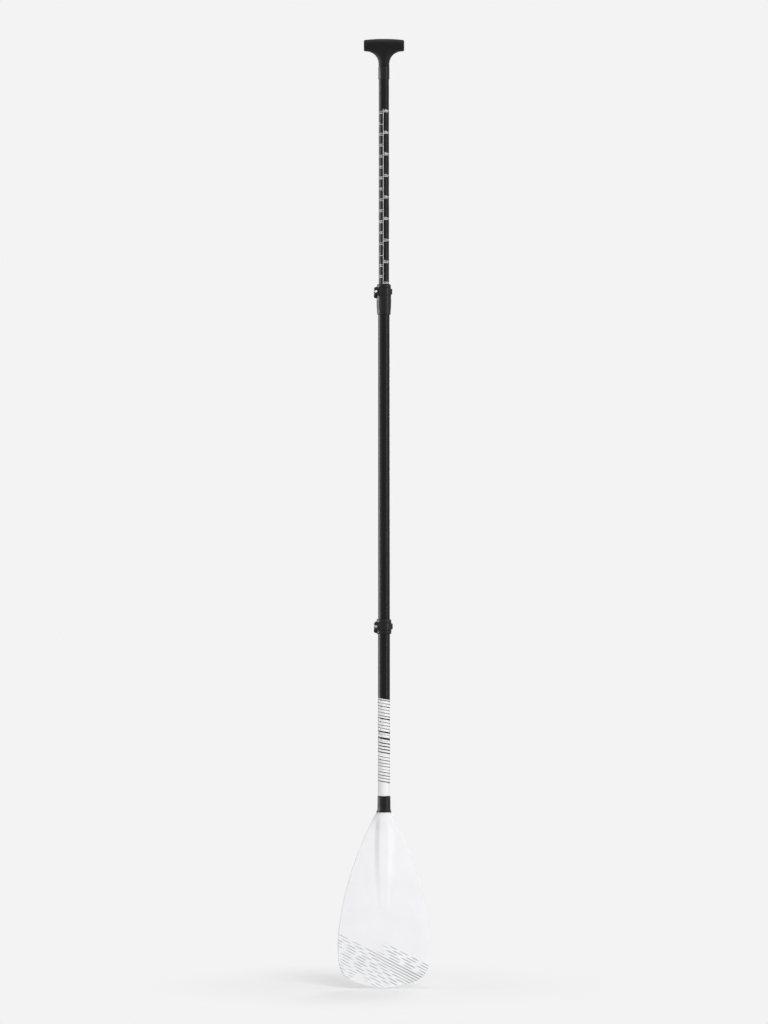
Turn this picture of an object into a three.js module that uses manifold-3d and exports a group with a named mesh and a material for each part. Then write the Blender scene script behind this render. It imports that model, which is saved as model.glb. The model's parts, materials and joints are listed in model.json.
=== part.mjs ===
// Adjustable single blade paddle for a stand-up board, in three sections: a handle section with a T grip,
// a middle shaft with a lever clamp, and a blade section with a second lever clamp and a raked blade.
// Millimetres, +Z up the shaft, the ribbed front of the blade towards -Y, clamp ears and bolts towards -X.
// The origin is on the shaft axis where a holder grips the middle shaft.

import * as THREE from 'three';
import { mergeVertices } from 'three/addons/utils/BufferGeometryUtils.js';
import Module from 'manifold-3d';

const wasm = await Module();
wasm.setup();

// Clearances shared by pieces that rest on or run in each other
const seatGap = 0.3;
const boltGap = 0.3;
const overrun = 4;

// Facets around and along the rounded forms
const roundSides = 32;
const smallSides = 16;
const curveSteps = 3;
const arcSteps = 14;
const springSteps = 8;

// T grip: bar along X, crowned on top, hollow and open at both ends, with a concave flare to a round neck
const gripWidth = 94;
const gripMiddleHeight = 28.8;
const gripEndHeight = 26.1;
const gripMiddleDepth = 32;
const gripEndDepth = 28;
const gripEdgeRound = 2.2;
const gripWall = 3.4;
const gripFlareHeight = 31.2;
const gripFlareReach = 33;
const gripFlareDepthReach = 1.6;
const gripNeckRadius = 12.6;
const gripNeckHeight = 4.3;
const gripSpigotLength = 34;
const gripBarPower = 2.3;
const gripFlarePower = 2.2;

// Sleeve over the joint of the grip and the handle tube
const gripSleeveRadius = 13.25;
const gripSleeveLength = 29.5;

// Handle tube and its end plug
const handleTubeRadius = 12.2;
const handleTubeWall = 1.3;
const handleTubeLength = 611.5;
const handlePlugCap = 5;
const handlePlugRound = 2.4;
const handlePlugStem = 14;

// How much of the handle section stands above the upper clamp at the longest printed setting
const handleShown = 570.1;

// Middle shaft tube, between the shoulder at the blade section and the upper clamp
const middleTubeRadius = 13.7;
const middleTubeWall = 1;
const middleTubeLength = 740.2;
const tubeEdgeRound = 0.4;

// Insert tube that plugs into the blade section, with its end plug
const insertRadius = 12.4;
const insertWall = 1.5;
const insertShown = 119.4;
const insertBuried = 100;
const insertPlugCap = 4;
const insertPlugRound = 2.2;
const insertPlugStem = 12;

// Blade section tube, clamp slot and stopper
const bladeTubeRadius = 13.95;
const bladeTubeWall = 1.2;
const bladeTubeLength = 431;
const bladeTubeSlotWidth = 2.4;
const bladeTubeSlotLength = 28;
const stopperDrop = 128;
const stopperLength = 30;

// Snap button, its holes and its leaf spring; the button is turned from +Y towards -X
const buttonDrop = 76.3;
const buttonTurnDegrees = 14;
const buttonRadius = 3.3;
const buttonStand = 0.7;
const buttonDome = 1.1;
const buttonFlangeRadius = 4.4;
const buttonFlangeThickness = 0.8;
const buttonTravel = 2.4;
const springWidth = 6;
const springThickness = 0.8;
const springLegLength = 20;
const springLegOvershoot = 5;

// Lever clamps: what both clamps share, drops are measured down from the top of the collar
const bandDrop = 8.6;
const leverHeight = 17.2;
const leverThickness = 1.6;
const leverEdgeRound = 0.4;
const leverEndDegrees = -3;
const leverTabStand = 2.6;
const leverTabHeight = 13.2;
const leverTabDegrees = 18;
const leverWebThickness = 4.4;
const leverWebEndDegrees = 236;
const leverWebOverlapDegrees = 4;
const camRadius = 5.2;
const camOffset = 0.5;
const pinReach = 18.3;
const barrelRadius = 3.4;
const barrelFlatDepth = 1.4;
const pocketHalfHeight = 3.7;
const pocketReach = 6.7;
const earTopDrop = 6.1;
const earTopReach = 22.3;
const earBottomReach = 24.4;
const earTopRound = 5;
const earBottomRound = 6;
const earFrontDepth = 6.6;
const earBackDepth = 8.6;
const earEdgeRound = 1;
const splitWidth = 2;
const boltRadius = 2;
const boltHeadRadius = 3.25;
const boltHeadLength = 3.2;
const boltHeadSink = 0.4;
const boltSocketRadius = 1.45;
const boltSocketDepth = 1.8;
const nutRadius = 3.5;
const nutLength = 2.6;
const nutCrown = 1.2;
const nutChamfer = 0.5;

// Upper clamp collar: a split band round the handle tube over a sleeve round the middle tube
const upperCollar = {
  gripRadius: handleTubeRadius,
  wallUnderLever: 2.3,
  rimRadius: 16.4,
  bellyPull: 18.6,
  bellyDrop: 40,
  footRadius: 15.8,
  height: 71.3,
  topRound: 2.5,
  footRound: 1.4,
  earBottomDrop: 33,
};
const slitDrop = 33.6;
const slitWidth = 1.6;
const slitHalfDegrees = 85;
const upperTubeStopDrop = 37;

// Lower clamp collar: a short split collar round the blade tube, with a lip that the middle tube sits on
const lowerCollar = {
  gripRadius: bladeTubeRadius,
  wallUnderLever: 1.7,
  rimRadius: 17.1,
  bellyPull: 18.5,
  bellyDrop: 19,
  footRadius: 17.1,
  height: 35.5,
  topRound: 2.6,
  footRound: 2,
  earBottomDrop: 33,
};
const lowerLipHeight = 3.6;

// Neck ferrule over the joint of the blade tube and the blade
const ferruleDrop = 411.2;
const ferruleStraight = 28.7;
const ferruleFlare = 9.3;
const ferruleTopRadius = 14.95;
const ferruleWaistRadius = 15.2;
const ferruleMouthHalfWidth = 18.7;
const ferruleMouthHalfDepth = 16.2;
const ferruleWall = 1.3;
const ferruleEdgeRound = 0.5;

// Blade: length below the ferrule, greatest half width, rake, thicknesses, ribs and the tang in the tube
const bladeLength = 402.8;
const bladeHalfWidth = 107;
const bladeRakeDegrees = 10;
const bladeRakeRun = 60;
const bladeMiddleThickness = 8.4;
const bladeTipThickness = 4.6;
const bladeEdgeThickness = 3.2;
const bladeEdgeRound = 2.2;
const bladeFrontRib = 10.5;
const bladeBackRib = 9;
const bladeFrontRibLength = 245;
const bladeBackRibLength = 150;
const bladeRibNeckHalfWidth = 22;
const bladeRibTipHalfWidth = 13;
const bladeShoulderLength = 42;
const bladeTangLength = 58;
const bladeTangRound = 1.5;
const bladeSides = 26;
const bladeRings = 33;
const bladeCrowding = 0.62;
const bladeRingCrowding = 0.55;

// Outline of the blade from the ferrule to the tip: share of the length, then share of the half width
const bladeOutlineShares = [
  [0, 0.16],
  [0.045, 0.25],
  [0.11, 0.371],
  [0.227, 0.554],
  [0.342, 0.711],
  [0.5, 0.875],
  [0.66, 0.977],
  [0.765, 1],
  [0.86, 0.975],
  [0.915, 0.893],
  [0.952, 0.74],
  [0.981, 0.44],
  [0.996, 0.17],
  [1, 0.03],
];

// Height of the holder's grip above the shoulder of the middle shaft
const holderHeight = 420;

// Sizes that follow from the ones above
const handleTubeInner = handleTubeRadius - handleTubeWall;
const middleTubeInner = middleTubeRadius - middleTubeWall;
const insertInner = insertRadius - insertWall;
const bladeTubeInner = bladeTubeRadius - bladeTubeWall;
const pinForward = earFrontDepth + seatGap + camRadius + camOffset;
const boltDrop = bandDrop + seatGap + leverHeight / 2;
const collarTopHeight = middleTubeLength + seatGap + upperTubeStopDrop;

// Materials, one for each finish on the paddle
const satinBlackTube = { color: 0x232325, roughness: 0.42, metalness: 0.2 };
const gripBlack = { color: 0x1f1f21, roughness: 0.7, metalness: 0 };
const clampBlack = { color: 0x1c1c1e, roughness: 0.4, metalness: 0 };
const insertBrown = { color: 0x2b2726, roughness: 0.55, metalness: 0 };
const nickel = { color: 0xb9b6ad, roughness: 0.3, metalness: 1 };
const bladeWhite = { color: 0xeeeeef, roughness: 0.32, metalness: 0 };
const tubeWhite = { color: 0xe9e9ea, roughness: 0.35, metalness: 0 };
const foamGrey = { color: 0x4a4a4c, roughness: 0.95, metalness: 0 };

// Make a solid of a closed geometry, with its faces turned outwards
function solidOf(geometry) {
  const bare = geometry.clone();
  bare.deleteAttribute('normal');
  bare.deleteAttribute('uv');
  const merged = mergeVertices(bare);
  const place = merged.attributes.position;
  const corners = [new THREE.Vector3(), new THREE.Vector3(), new THREE.Vector3()];
  const triangles = [];
  let volume = 0;
  for (let i = 0; i < merged.index.count; i += 3) {
    const [a, b, c] = [0, 1, 2].map((k) => merged.index.getX(i + k));
    if (a !== b && b !== c && c !== a) {
      [a, b, c].forEach((vertex, k) => corners[k].fromBufferAttribute(place, vertex));
      volume += corners[0].dot(corners[1].clone().cross(corners[2]));
      triangles.push([a, b, c]);
    }
  }
  const outward = volume > 0 ? triangles : triangles.map(([a, b, c]) => [a, c, b]);
  return new wasm.Manifold(new wasm.Mesh({
    numProp: 3,
    vertProperties: Float32Array.from(place.array),
    triVerts: Uint32Array.from(outward.flat()),
  }));
}

// Make a named mesh of a solid
function piece(name, solid, finish) {
  const surface = solid.getMesh();
  const geometry = new THREE.BufferGeometry();
  geometry.setAttribute('position', new THREE.BufferAttribute(Float32Array.from(surface.vertProperties), 3));
  geometry.setIndex(new THREE.BufferAttribute(Uint32Array.from(surface.triVerts), 1));
  geometry.computeVertexNormals();
  const mesh = new THREE.Mesh(geometry, new THREE.MeshStandardMaterial(finish));
  mesh.name = name;
  return mesh;
}

// Put pieces or groups together in one placed group
function groupAt(height, members) {
  const group = new THREE.Group();
  group.position.z = height;
  group.add(...members);
  return group;
}

// Turn an outline of [radius, height] points round the Z axis
function revolve(points, sides = roundSides) {
  const lathe = new THREE.LatheGeometry(points.map(([r, z]) => new THREE.Vector2(r, z)), sides);
  return solidOf(lathe.rotateX(Math.PI / 2));
}

// A round bar along Z between two heights
function roundBar(radius, bottom, top, sides = roundSides) {
  return revolve([[0, bottom], [radius, bottom], [radius, top], [0, top]], sides);
}

// A tube along Z between two heights, with its outer edges rounded off
function tube(outer, inner, bottom, top) {
  return revolve([
    [inner, bottom],
    [outer - tubeEdgeRound, bottom],
    [outer, bottom + tubeEdgeRound],
    [outer, top - tubeEdgeRound],
    [outer - tubeEdgeRound, top],
    [inner, top],
    [inner, bottom],
  ]);
}

// A plug with a round-edged cap below a stem; the top of the cap is at height 0
function endPlug(capRadius, capHeight, capRound, stemRadius, stemHeight) {
  const outline = new THREE.Path();
  outline.moveTo(0, -capHeight);
  outline.lineTo(capRadius - capRound, -capHeight);
  outline.quadraticCurveTo(capRadius, -capHeight, capRadius, capRound - capHeight);
  outline.lineTo(capRadius, 0);
  outline.lineTo(stemRadius, 0);
  outline.lineTo(stemRadius, stemHeight);
  outline.lineTo(0, stemHeight);
  return revolve(outline.getPoints(curveSteps).map((point) => [point.x, point.y]));
}

// A block between two corners
function block([x0, y0, z0], [x1, y1, z1]) {
  const box = new THREE.BoxGeometry(x1 - x0, y1 - y0, z1 - z0);
  return solidOf(box.translate((x0 + x1) / 2, (y0 + y1) / 2, (z0 + z1) / 2));
}

// A round bar along Y, from yFrom to yTo, at a place in X and Z
function crossBar(radius, yFrom, yTo, x, z, sides = smallSides) {
  const bar = new THREE.CylinderGeometry(radius, radius, yTo - yFrom, sides);
  return solidOf(bar.translate(x, (yFrom + yTo) / 2, z));
}

// An outline extruded up Z, its edges rounded off inside its height
function extrudeUp(shape, bottom, top, edgeRound, steps = curveSteps) {
  const plain = edgeRound === 0;
  const body = new THREE.ExtrudeGeometry(shape, {
    depth: top - bottom - 2 * edgeRound,
    bevelEnabled: !plain,
    bevelThickness: edgeRound,
    bevelSize: edgeRound,
    bevelOffset: -edgeRound,
    bevelSegments: 1,
    curveSegments: steps,
  });
  return solidOf(body.translate(0, 0, bottom + edgeRound));
}

// A closed outline through straight sides whose corners are rounded by their own radius
function roundedOutline(corners) {
  const shape = new THREE.Shape();
  corners.forEach(([x, y, radius], i) => {
    const corner = new THREE.Vector2(x, y);
    const before = new THREE.Vector2(...corners.at(i - 1).slice(0, 2)).sub(corner).setLength(radius);
    const after = new THREE.Vector2(...corners[(i + 1) % corners.length].slice(0, 2)).sub(corner);
    after.setLength(radius);
    const start = corner.clone().add(before);
    const end = corner.clone().add(after);
    if (i === 0) {
      shape.moveTo(start.x, start.y);
    } else {
      shape.lineTo(start.x, start.y);
    }
    if (radius > 0) {
      shape.quadraticCurveTo(x, y, end.x, end.y);
    }
  });
  return shape;
}

// Join rings of points into a closed skin, with a flat fan over each end
function loft(rings) {
  const sides = rings[0].length;
  const points = rings.flat();
  const triangles = [];
  for (let ring = 0; ring + 1 < rings.length; ring += 1) {
    for (let i = 0; i < sides; i += 1) {
      const a = ring * sides + i;
      const b = ring * sides + (i + 1) % sides;
      triangles.push([a, b, b + sides], [a, b + sides, a + sides]);
    }
  }
  [[rings[0], 0], [rings.at(-1), points.length - sides]].forEach(([ring, first], end) => {
    const middle = ring.reduce((sum, point) => sum.add(point), new THREE.Vector3()).divideScalar(sides);
    const hub = points.push(middle) - 1;
    for (let i = 0; i < sides; i += 1) {
      const pair = [first + i, first + (i + 1) % sides];
      triangles.push(end === 0 ? [hub, pair[1], pair[0]] : [hub, pair[0], pair[1]]);
    }
  });
  const geometry = new THREE.BufferGeometry();
  const place = points.flatMap((point) => [point.x, point.y, point.z]);
  geometry.setAttribute('position', new THREE.BufferAttribute(Float32Array.from(place), 3));
  geometry.setIndex(triangles.flat());
  return solidOf(geometry);
}

// One coordinate of a rounded square or ellipse: power 2 is an ellipse, more is squarer
function bulge(direction, power) {
  return Math.sign(direction) * Math.abs(direction) ** (2 / power);
}

// A smooth step from 0 to 1
function ease(value) {
  return THREE.MathUtils.smoothstep(value, 0, 1);
}

// The T grip, with the top of its crown at height 0
function tGrip() {
  const underside = -gripMiddleHeight;
  const crown = gripMiddleHeight - gripEndHeight;
  const endX = gripWidth / 2;
  const barRing = (x, inset) => {
    const share = x / endX;
    const top = -crown * share ** 2;
    const depth = gripMiddleDepth + (gripEndDepth - gripMiddleDepth) * share ** 2;
    return Array.from({ length: roundSides }, (_, i) => {
      const turn = (i / roundSides) * Math.PI * 2;
      const y = (depth / 2 - inset) * bulge(Math.cos(turn), gripBarPower);
      const z = (top + underside) / 2 + ((top - underside) / 2 - inset) * bulge(Math.sin(turn), gripBarPower);
      return new THREE.Vector3(x, y, z);
    });
  };
  const endSteps = 3;
  const middleSteps = 8;
  const innerX = endX - gripEdgeRound;
  const roundedEnd = Array.from({ length: endSteps }, (_, i) => {
    const turn = (i / endSteps) * (Math.PI / 2);
    return [innerX + gripEdgeRound * Math.cos(turn), gripEdgeRound * (1 - Math.sin(turn))];
  });
  const places = [
    ...roundedEnd.map(([x, inset]) => [-x, inset]),
    ...Array.from({ length: middleSteps + 1 }, (_, i) => [innerX * (2 * i / middleSteps - 1), 0]),
    ...roundedEnd.reverse(),
  ];
  const bar = loft(places.map(([x, inset]) => barRing(x, inset)));

  const flareSteps = 9;
  const neckTop = underside - gripFlareHeight;
  const flareRings = [];
  for (let i = 0; i <= flareSteps; i += 1) {
    const rise = Math.sin((i / flareSteps) * (Math.PI / 2));
    const spread = 1 - (1 - rise ** gripFlarePower) ** (1 / gripFlarePower);
    const halfWidth = gripNeckRadius + gripFlareReach * spread;
    const halfDepth = gripNeckRadius + gripFlareDepthReach * ease(rise);
    flareRings.push([neckTop + gripFlareHeight * rise, halfWidth, halfDepth]);
  }
  const [, widest, deepest] = flareRings.at(-1);
  flareRings.push([underside + gripEndHeight / 3, widest - gripWall, deepest]);
  flareRings.unshift([neckTop - gripNeckHeight, gripNeckRadius, gripNeckRadius]);
  const flare = loft(flareRings.map(([z, halfWidth, halfDepth]) => (
    Array.from({ length: roundSides }, (_, i) => {
      const turn = (i / roundSides) * Math.PI * 2;
      return new THREE.Vector3(halfWidth * Math.cos(turn), halfDepth * Math.sin(turn), z);
    })
  )));

  const neckBottom = neckTop - gripNeckHeight;
  const spigotRadius = handleTubeInner - seatGap;
  const spigotTop = neckBottom + gripNeckHeight / 2;
  const spigot = roundBar(spigotRadius, neckBottom - gripSpigotLength, spigotTop);
  const bore = roundBar(1, -endX - overrun, endX + overrun)
    .scale([gripEndHeight / 2 - gripWall, gripEndDepth / 2 - gripWall, 1])
    .rotate([0, 90, 0])
    .translate([0, 0, underside + gripEndHeight / 2]);
  return bar.add(flare).add(spigot).subtract(bore);
}

// Height of the underside of the T grip's neck, below the top of the crown
const neckUnderside = gripMiddleHeight + gripFlareHeight + gripNeckHeight;

// The handle section, with the top of the grip's crown at height 0
function handleSection(height) {
  const tubeTop = -neckUnderside - seatGap;
  const tubeBottom = tubeTop - handleTubeLength;
  const sleeve = tube(gripSleeveRadius, handleTubeRadius + seatGap, tubeTop - gripSleeveLength, tubeTop);
  const plug = endPlug(
    handleTubeRadius,
    handlePlugCap,
    handlePlugRound,
    handleTubeInner - seatGap,
    handlePlugStem,
  );
  return groupAt(height, [
    piece('t_grip', tGrip(), gripBlack),
    piece('grip_sleeve', sleeve, gripBlack),
    piece('handle_tube', tube(handleTubeRadius, handleTubeInner, tubeBottom, tubeTop), satinBlackTube),
    piece('handle_end_plug', plug.translate([0, 0, tubeBottom - seatGap]), clampBlack),
  ]);
}

// The radius of the groove that a clamp's lever closes into
function grooveRadius(collar) {
  return collar.gripRadius + seatGap + collar.wallUnderLever;
}

// The body of a clamp collar before its bores: barrel-shaped outside, with ears for the bolt
function collarBlank(collar) {
  const { rimRadius, footRadius, height, topRound, footRound } = collar;
  const outline = new THREE.Path();
  outline.moveTo(0, -height);
  outline.lineTo(footRadius - footRound, -height);
  outline.quadraticCurveTo(footRadius, -height, footRadius, footRound - height);
  outline.quadraticCurveTo(collar.bellyPull, -collar.bellyDrop, rimRadius, -topRound);
  outline.quadraticCurveTo(rimRadius, 0, rimRadius - topRound, 0);
  outline.lineTo(0, 0);
  const barrel = revolve(outline.getPoints(curveSteps).map((point) => [point.x, point.y]));
  const inner = -collar.gripRadius - collar.wallUnderLever;
  const earShape = roundedOutline([
    [inner, -earTopDrop, 0],
    [-earTopReach, -earTopDrop, earTopRound],
    [-earBottomReach, -collar.earBottomDrop, earBottomRound],
    [inner, -collar.earBottomDrop, 0],
  ]);
  const ears = extrudeUp(earShape, 0, earFrontDepth + earBackDepth, earEdgeRound)
    .rotate([90, 0, 0])
    .translate([0, earBackDepth, 0]);
  return barrel.add(ears);
}

// Cut the lever's groove, the bolt's holes and the split into a collar
function cutClamp(blank, collar, splitBottom) {
  const far = earBottomReach + overrun;
  const top = -bandDrop;
  const bottom = -bandDrop - leverHeight - 2 * seatGap;
  const tipTurn = THREE.MathUtils.degToRad(leverEndDegrees);
  const grooveEnd = (grooveRadius(collar) + leverThickness) * Math.sin(tipTurn) + 2 * leverThickness;
  const front = block([-far, -far, bottom], [far, -earFrontDepth, top]);
  const side = block([0, -far, bottom], [far, grooveEnd, top]);
  const core = roundBar(grooveRadius(collar), bottom - overrun, top + overrun);
  const groove = front.add(side).subtract(core);
  const hole = crossBar(boltRadius + boltGap, -far, far, -pinReach, -boltDrop);
  const headSeat = earBackDepth - boltHeadSink - boltHeadLength - boltGap;
  const counterbore = crossBar(boltHeadRadius + boltGap, headSeat, far, -pinReach, -boltDrop);
  const split = block([-far, -splitWidth / 2, splitBottom], [0, splitWidth / 2, overrun]);
  return blank.subtract(groove).subtract(hole).subtract(counterbore).subtract(split);
}

// The upper collar: long sleeve, split band and the relief slit under the band
function upperClampCollar() {
  const collar = upperCollar;
  const band = cutClamp(collarBlank(collar), collar, -slitDrop - slitWidth);
  const bandBore = roundBar(collar.gripRadius + seatGap, -upperTubeStopDrop - overrun, overrun);
  const sleeveBore = roundBar(middleTubeRadius + seatGap, -collar.height - overrun, -upperTubeStopDrop);
  const reach = earBottomReach + overrun;
  const slitShape = new THREE.Shape();
  const half = THREE.MathUtils.degToRad(slitHalfDegrees);
  slitShape.moveTo(0, 0);
  slitShape.absarc(0, 0, reach, Math.PI - half, Math.PI + half, false);
  const slit = extrudeUp(slitShape, -slitDrop - slitWidth, -slitDrop, 0, arcSteps);
  return band.subtract(bandBore).subtract(sleeveBore).subtract(slit);
}

// The lower collar: split all the way down, with a lip over the end of the blade tube
function lowerClampCollar() {
  const collar = lowerCollar;
  const band = cutClamp(collarBlank(collar), collar, -collar.height - overrun);
  const lipBore = roundBar(insertRadius + seatGap, -lowerLipHeight - overrun, overrun);
  const tubeBore = roundBar(collar.gripRadius + seatGap, -collar.height - overrun, -lowerLipHeight);
  return band.subtract(lipBore).subtract(tubeBore);
}

// A sector of a ring between two radii and two angles
function ringSector(inner, outer, fromDegrees, toDegrees) {
  const from = THREE.MathUtils.degToRad(fromDegrees);
  const to = THREE.MathUtils.degToRad(toDegrees);
  const shape = new THREE.Shape();
  shape.absarc(0, 0, outer, from, to, false);
  shape.absarc(0, 0, inner, to, from, true);
  shape.closePath();
  return shape;
}

// The clamp lever, closed: two cam cheeks on the barrel, a web, a curved band and a finger tab at its end
function clampLever(collar) {
  const inner = grooveRadius(collar) + seatGap;
  const outer = inner + leverThickness;
  const middle = -boltDrop;
  const bottom = middle - leverHeight / 2;
  const top = middle + leverHeight / 2;
  const end = 360 + leverEndDegrees;
  const sector = ringSector(inner, outer, leverWebEndDegrees - leverWebOverlapDegrees, end);
  const band = extrudeUp(sector, bottom, top, leverEdgeRound, arcSteps);

  const polar = (radius, degrees) => {
    const turn = THREE.MathUtils.degToRad(degrees);
    return new THREE.Vector2(radius * Math.cos(turn), radius * Math.sin(turn));
  };
  const tabTip = polar(outer + leverTabStand, end);
  const tabFoot = polar(outer - leverEdgeRound, end - leverTabDegrees);
  const tabBend = polar(outer + leverEdgeRound, end - leverTabDegrees / 3);
  const tabInside = polar(inner + leverThickness / 2, end);
  const tabShape = new THREE.Shape();
  tabShape.moveTo(tabFoot.x, tabFoot.y);
  tabShape.quadraticCurveTo(tabBend.x, tabBend.y, tabTip.x, tabTip.y - leverThickness);
  tabShape.quadraticCurveTo(tabTip.x, tabTip.y, tabTip.x - leverThickness, tabTip.y);
  tabShape.lineTo(tabInside.x, tabInside.y);
  tabShape.closePath();
  const tab = extrudeUp(tabShape, middle - leverTabHeight / 2, middle + leverTabHeight / 2, 0);

  const cam = roundBar(camRadius, bottom, top, roundSides).translate([-pinReach, camOffset - pinForward, 0]);
  const webEnd = polar((inner + outer) / 2, leverWebEndDegrees);
  const webHalf = leverWebThickness / 2;
  const webShape = roundedOutline([
    [-pinReach, -pinForward - webHalf, 0],
    [webEnd.x, webEnd.y - webHalf, leverThickness],
    [webEnd.x, webEnd.y + webHalf, 0],
    [-pinReach, webHalf - pinForward, 0],
  ]);
  const web = extrudeUp(webShape, bottom, top, leverEdgeRound);

  const shaftRoom = roundBar(inner, bottom - overrun, top + overrun);
  const barrelBore = roundBar(barrelRadius + seatGap, bottom - overrun, top + overrun, smallSides)
    .translate([-pinReach, -pinForward, 0]);
  const far = earBottomReach + overrun;
  const pocket = block(
    [-far - pinForward, -far - pinForward, middle - pocketHalfHeight],
    [pocketReach - pinReach, 0, middle + pocketHalfHeight],
  );
  return cam.add(web).add(band).add(tab).subtract(shaftRoom).subtract(barrelBore).subtract(pocket);
}

// The barrel that the lever turns on, with a cross hole for the bolt and a flat for the nut
function clampBarrel() {
  const middle = -boltDrop;
  const half = leverHeight / 2;
  const barrel = roundBar(barrelRadius, middle - half, middle + half, smallSides)
    .translate([-pinReach, -pinForward, 0]);
  const hole = crossBar(boltRadius + boltGap, -pinForward - overrun, overrun - pinForward, -pinReach, middle);
  const flatFront = -pinForward - barrelRadius - overrun;
  const flatBack = -pinForward - barrelRadius + barrelFlatDepth;
  const flat = block(
    [-pinReach - barrelRadius - overrun, flatFront, middle - pocketHalfHeight],
    [overrun + barrelRadius - pinReach, flatBack, middle + pocketHalfHeight],
  );
  return barrel.subtract(hole).subtract(flat);
}

// Where the nut's base lies in Y, against the flat of the barrel
const nutBase = -pinForward - barrelRadius + barrelFlatDepth - seatGap;

// The socket-head bolt, head at the back ear, end in the nut
function clampBolt(throughNut) {
  const middle = -boltDrop;
  const headBack = earBackDepth - boltHeadSink;
  const headFront = headBack - boltHeadLength;
  const end = nutBase - (throughNut ? nutLength : nutLength / 2);
  const shank = crossBar(boltRadius, end, headFront + boltHeadLength / 2, -pinReach, middle);
  const head = crossBar(boltHeadRadius, headFront, headBack, -pinReach, middle);
  const socket = crossBar(boltSocketRadius, headBack - boltSocketDepth, headBack + overrun, -pinReach, middle, 6);
  return shank.add(head).subtract(socket);
}

// A hex nut with a chamfered face, or a domed one that hides the end of the bolt
function clampNut(domed) {
  const profile = new THREE.Path();
  profile.moveTo(0, 0);
  profile.lineTo(nutRadius, 0);
  if (domed) {
    profile.lineTo(nutRadius, nutLength / 4);
    profile.quadraticCurveTo(nutRadius, nutLength + nutCrown / 2, 0, nutLength + nutCrown);
  } else {
    profile.lineTo(nutRadius, nutLength - nutChamfer);
    profile.lineTo(nutRadius - nutChamfer, nutLength);
    profile.lineTo(0, nutLength);
  }
  const points = profile.getPoints(curveSteps).map((point) => [point.x, point.y]);
  const boreTop = domed ? nutLength / 2 + boltGap : nutLength + overrun;
  const bore = roundBar(boltRadius + boltGap, -overrun, boreTop, smallSides);
  return revolve(points, domed ? smallSides : 6)
    .subtract(bore)
    .rotate([0, 0, 90])
    .rotate([90, 0, 0])
    .translate([-pinReach, nutBase, -boltDrop]);
}

// A whole clamp, with the top of its collar at the given height
function clamp(prefix, height, collar, collarSolid, domedNut) {
  return groupAt(height, [
    piece(`${prefix}_clamp_collar`, collarSolid, clampBlack),
    piece(`${prefix}_clamp_lever`, clampLever(collar), clampBlack),
    piece(`${prefix}_clamp_barrel`, clampBarrel(), clampBlack),
    piece(`${prefix}_clamp_bolt`, clampBolt(!domedNut), nickel),
    piece(`${prefix}_clamp_nut`, clampNut(domedNut), nickel),
  ]);
}

// Turn a piece drawn looking out along +Y to where the snap button looks
function turnToButton(solid) {
  return solid.rotate([0, 0, buttonTurnDegrees]);
}

// Height of the button's axis, below the shoulder of the middle shaft
const buttonHeight = -seatGap - buttonDrop;

// The hole that the snap button comes through
function buttonHole() {
  return turnToButton(crossBar(buttonRadius + seatGap, 0, bladeTubeRadius + overrun, 0, buttonHeight));
}

// How far out the flange of the snap button may lie inside the insert tube
const flangeOut = Math.sqrt((insertInner - seatGap) ** 2 - buttonFlangeRadius ** 2);

// The snap button: a domed plunger on a flange that keeps it in the tube
function snapButton() {
  const tip = bladeTubeRadius + buttonStand;
  const flangeBase = flangeOut - buttonFlangeThickness;
  const outline = new THREE.Path();
  outline.moveTo(0, flangeBase);
  outline.lineTo(buttonFlangeRadius, flangeBase);
  outline.lineTo(buttonFlangeRadius, flangeOut);
  outline.lineTo(buttonRadius, flangeOut);
  outline.lineTo(buttonRadius, tip - buttonDome);
  outline.quadraticCurveTo(buttonRadius, tip, 0, tip);
  const plunger = revolve(outline.getPoints(curveSteps).map((point) => [point.x, point.y]), smallSides);
  return turnToButton(plunger.rotate([-90, 0, 0]).translate([0, 0, buttonHeight]));
}

// The leaf spring behind the button: a hairpin across the tube, its back leg on the far wall
function buttonSpring() {
  const half = springWidth / 2;
  const frontFace = flangeOut - buttonFlangeThickness - buttonTravel - seatGap;
  const backFace = -Math.sqrt((insertInner - seatGap) ** 2 - half ** 2);
  const bendMiddle = (frontFace + backFace) / 2;
  const outerRadius = (frontFace - backFace) / 2;
  const bendHeight = springLegOvershoot - springLegLength;
  const strip = new THREE.Shape();
  strip.moveTo(frontFace, springLegOvershoot);
  strip.lineTo(frontFace - springThickness, springLegOvershoot);
  strip.lineTo(frontFace - springThickness, bendHeight);
  strip.absarc(bendMiddle, bendHeight, outerRadius - springThickness, 0, -Math.PI, true);
  strip.lineTo(backFace + springThickness, springLegOvershoot);
  strip.lineTo(backFace, springLegOvershoot);
  strip.lineTo(backFace, bendHeight);
  strip.absarc(bendMiddle, bendHeight, outerRadius, -Math.PI, 0, false);
  strip.closePath();
  const leaf = extrudeUp(strip, -half, half, 0, springSteps)
    .rotate([90, 0, 0])
    .rotate([0, 0, 90])
    .translate([0, 0, buttonHeight]);
  return turnToButton(leaf);
}

// The middle shaft, with its shoulder at height 0
function middleShaft(height) {
  const insertBottom = insertPlugCap + seatGap - insertShown;
  const insert = tube(insertRadius, insertInner, insertBottom, insertBuried).subtract(buttonHole());
  const plug = endPlug(insertRadius, insertPlugCap, insertPlugRound, insertInner - seatGap, insertPlugStem);
  return groupAt(height, [
    piece('middle_tube', tube(middleTubeRadius, middleTubeInner, 0, middleTubeLength), satinBlackTube),
    piece('insert_tube', insert, insertBrown),
    piece('insert_end_plug', plug.translate([0, 0, insertBottom - seatGap]), insertBrown),
    piece('snap_button', snapButton(), nickel),
    piece('button_spring', buttonSpring(), nickel),
    clamp('upper', collarTopHeight, upperCollar, upperClampCollar(), true),
  ]);
}

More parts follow.
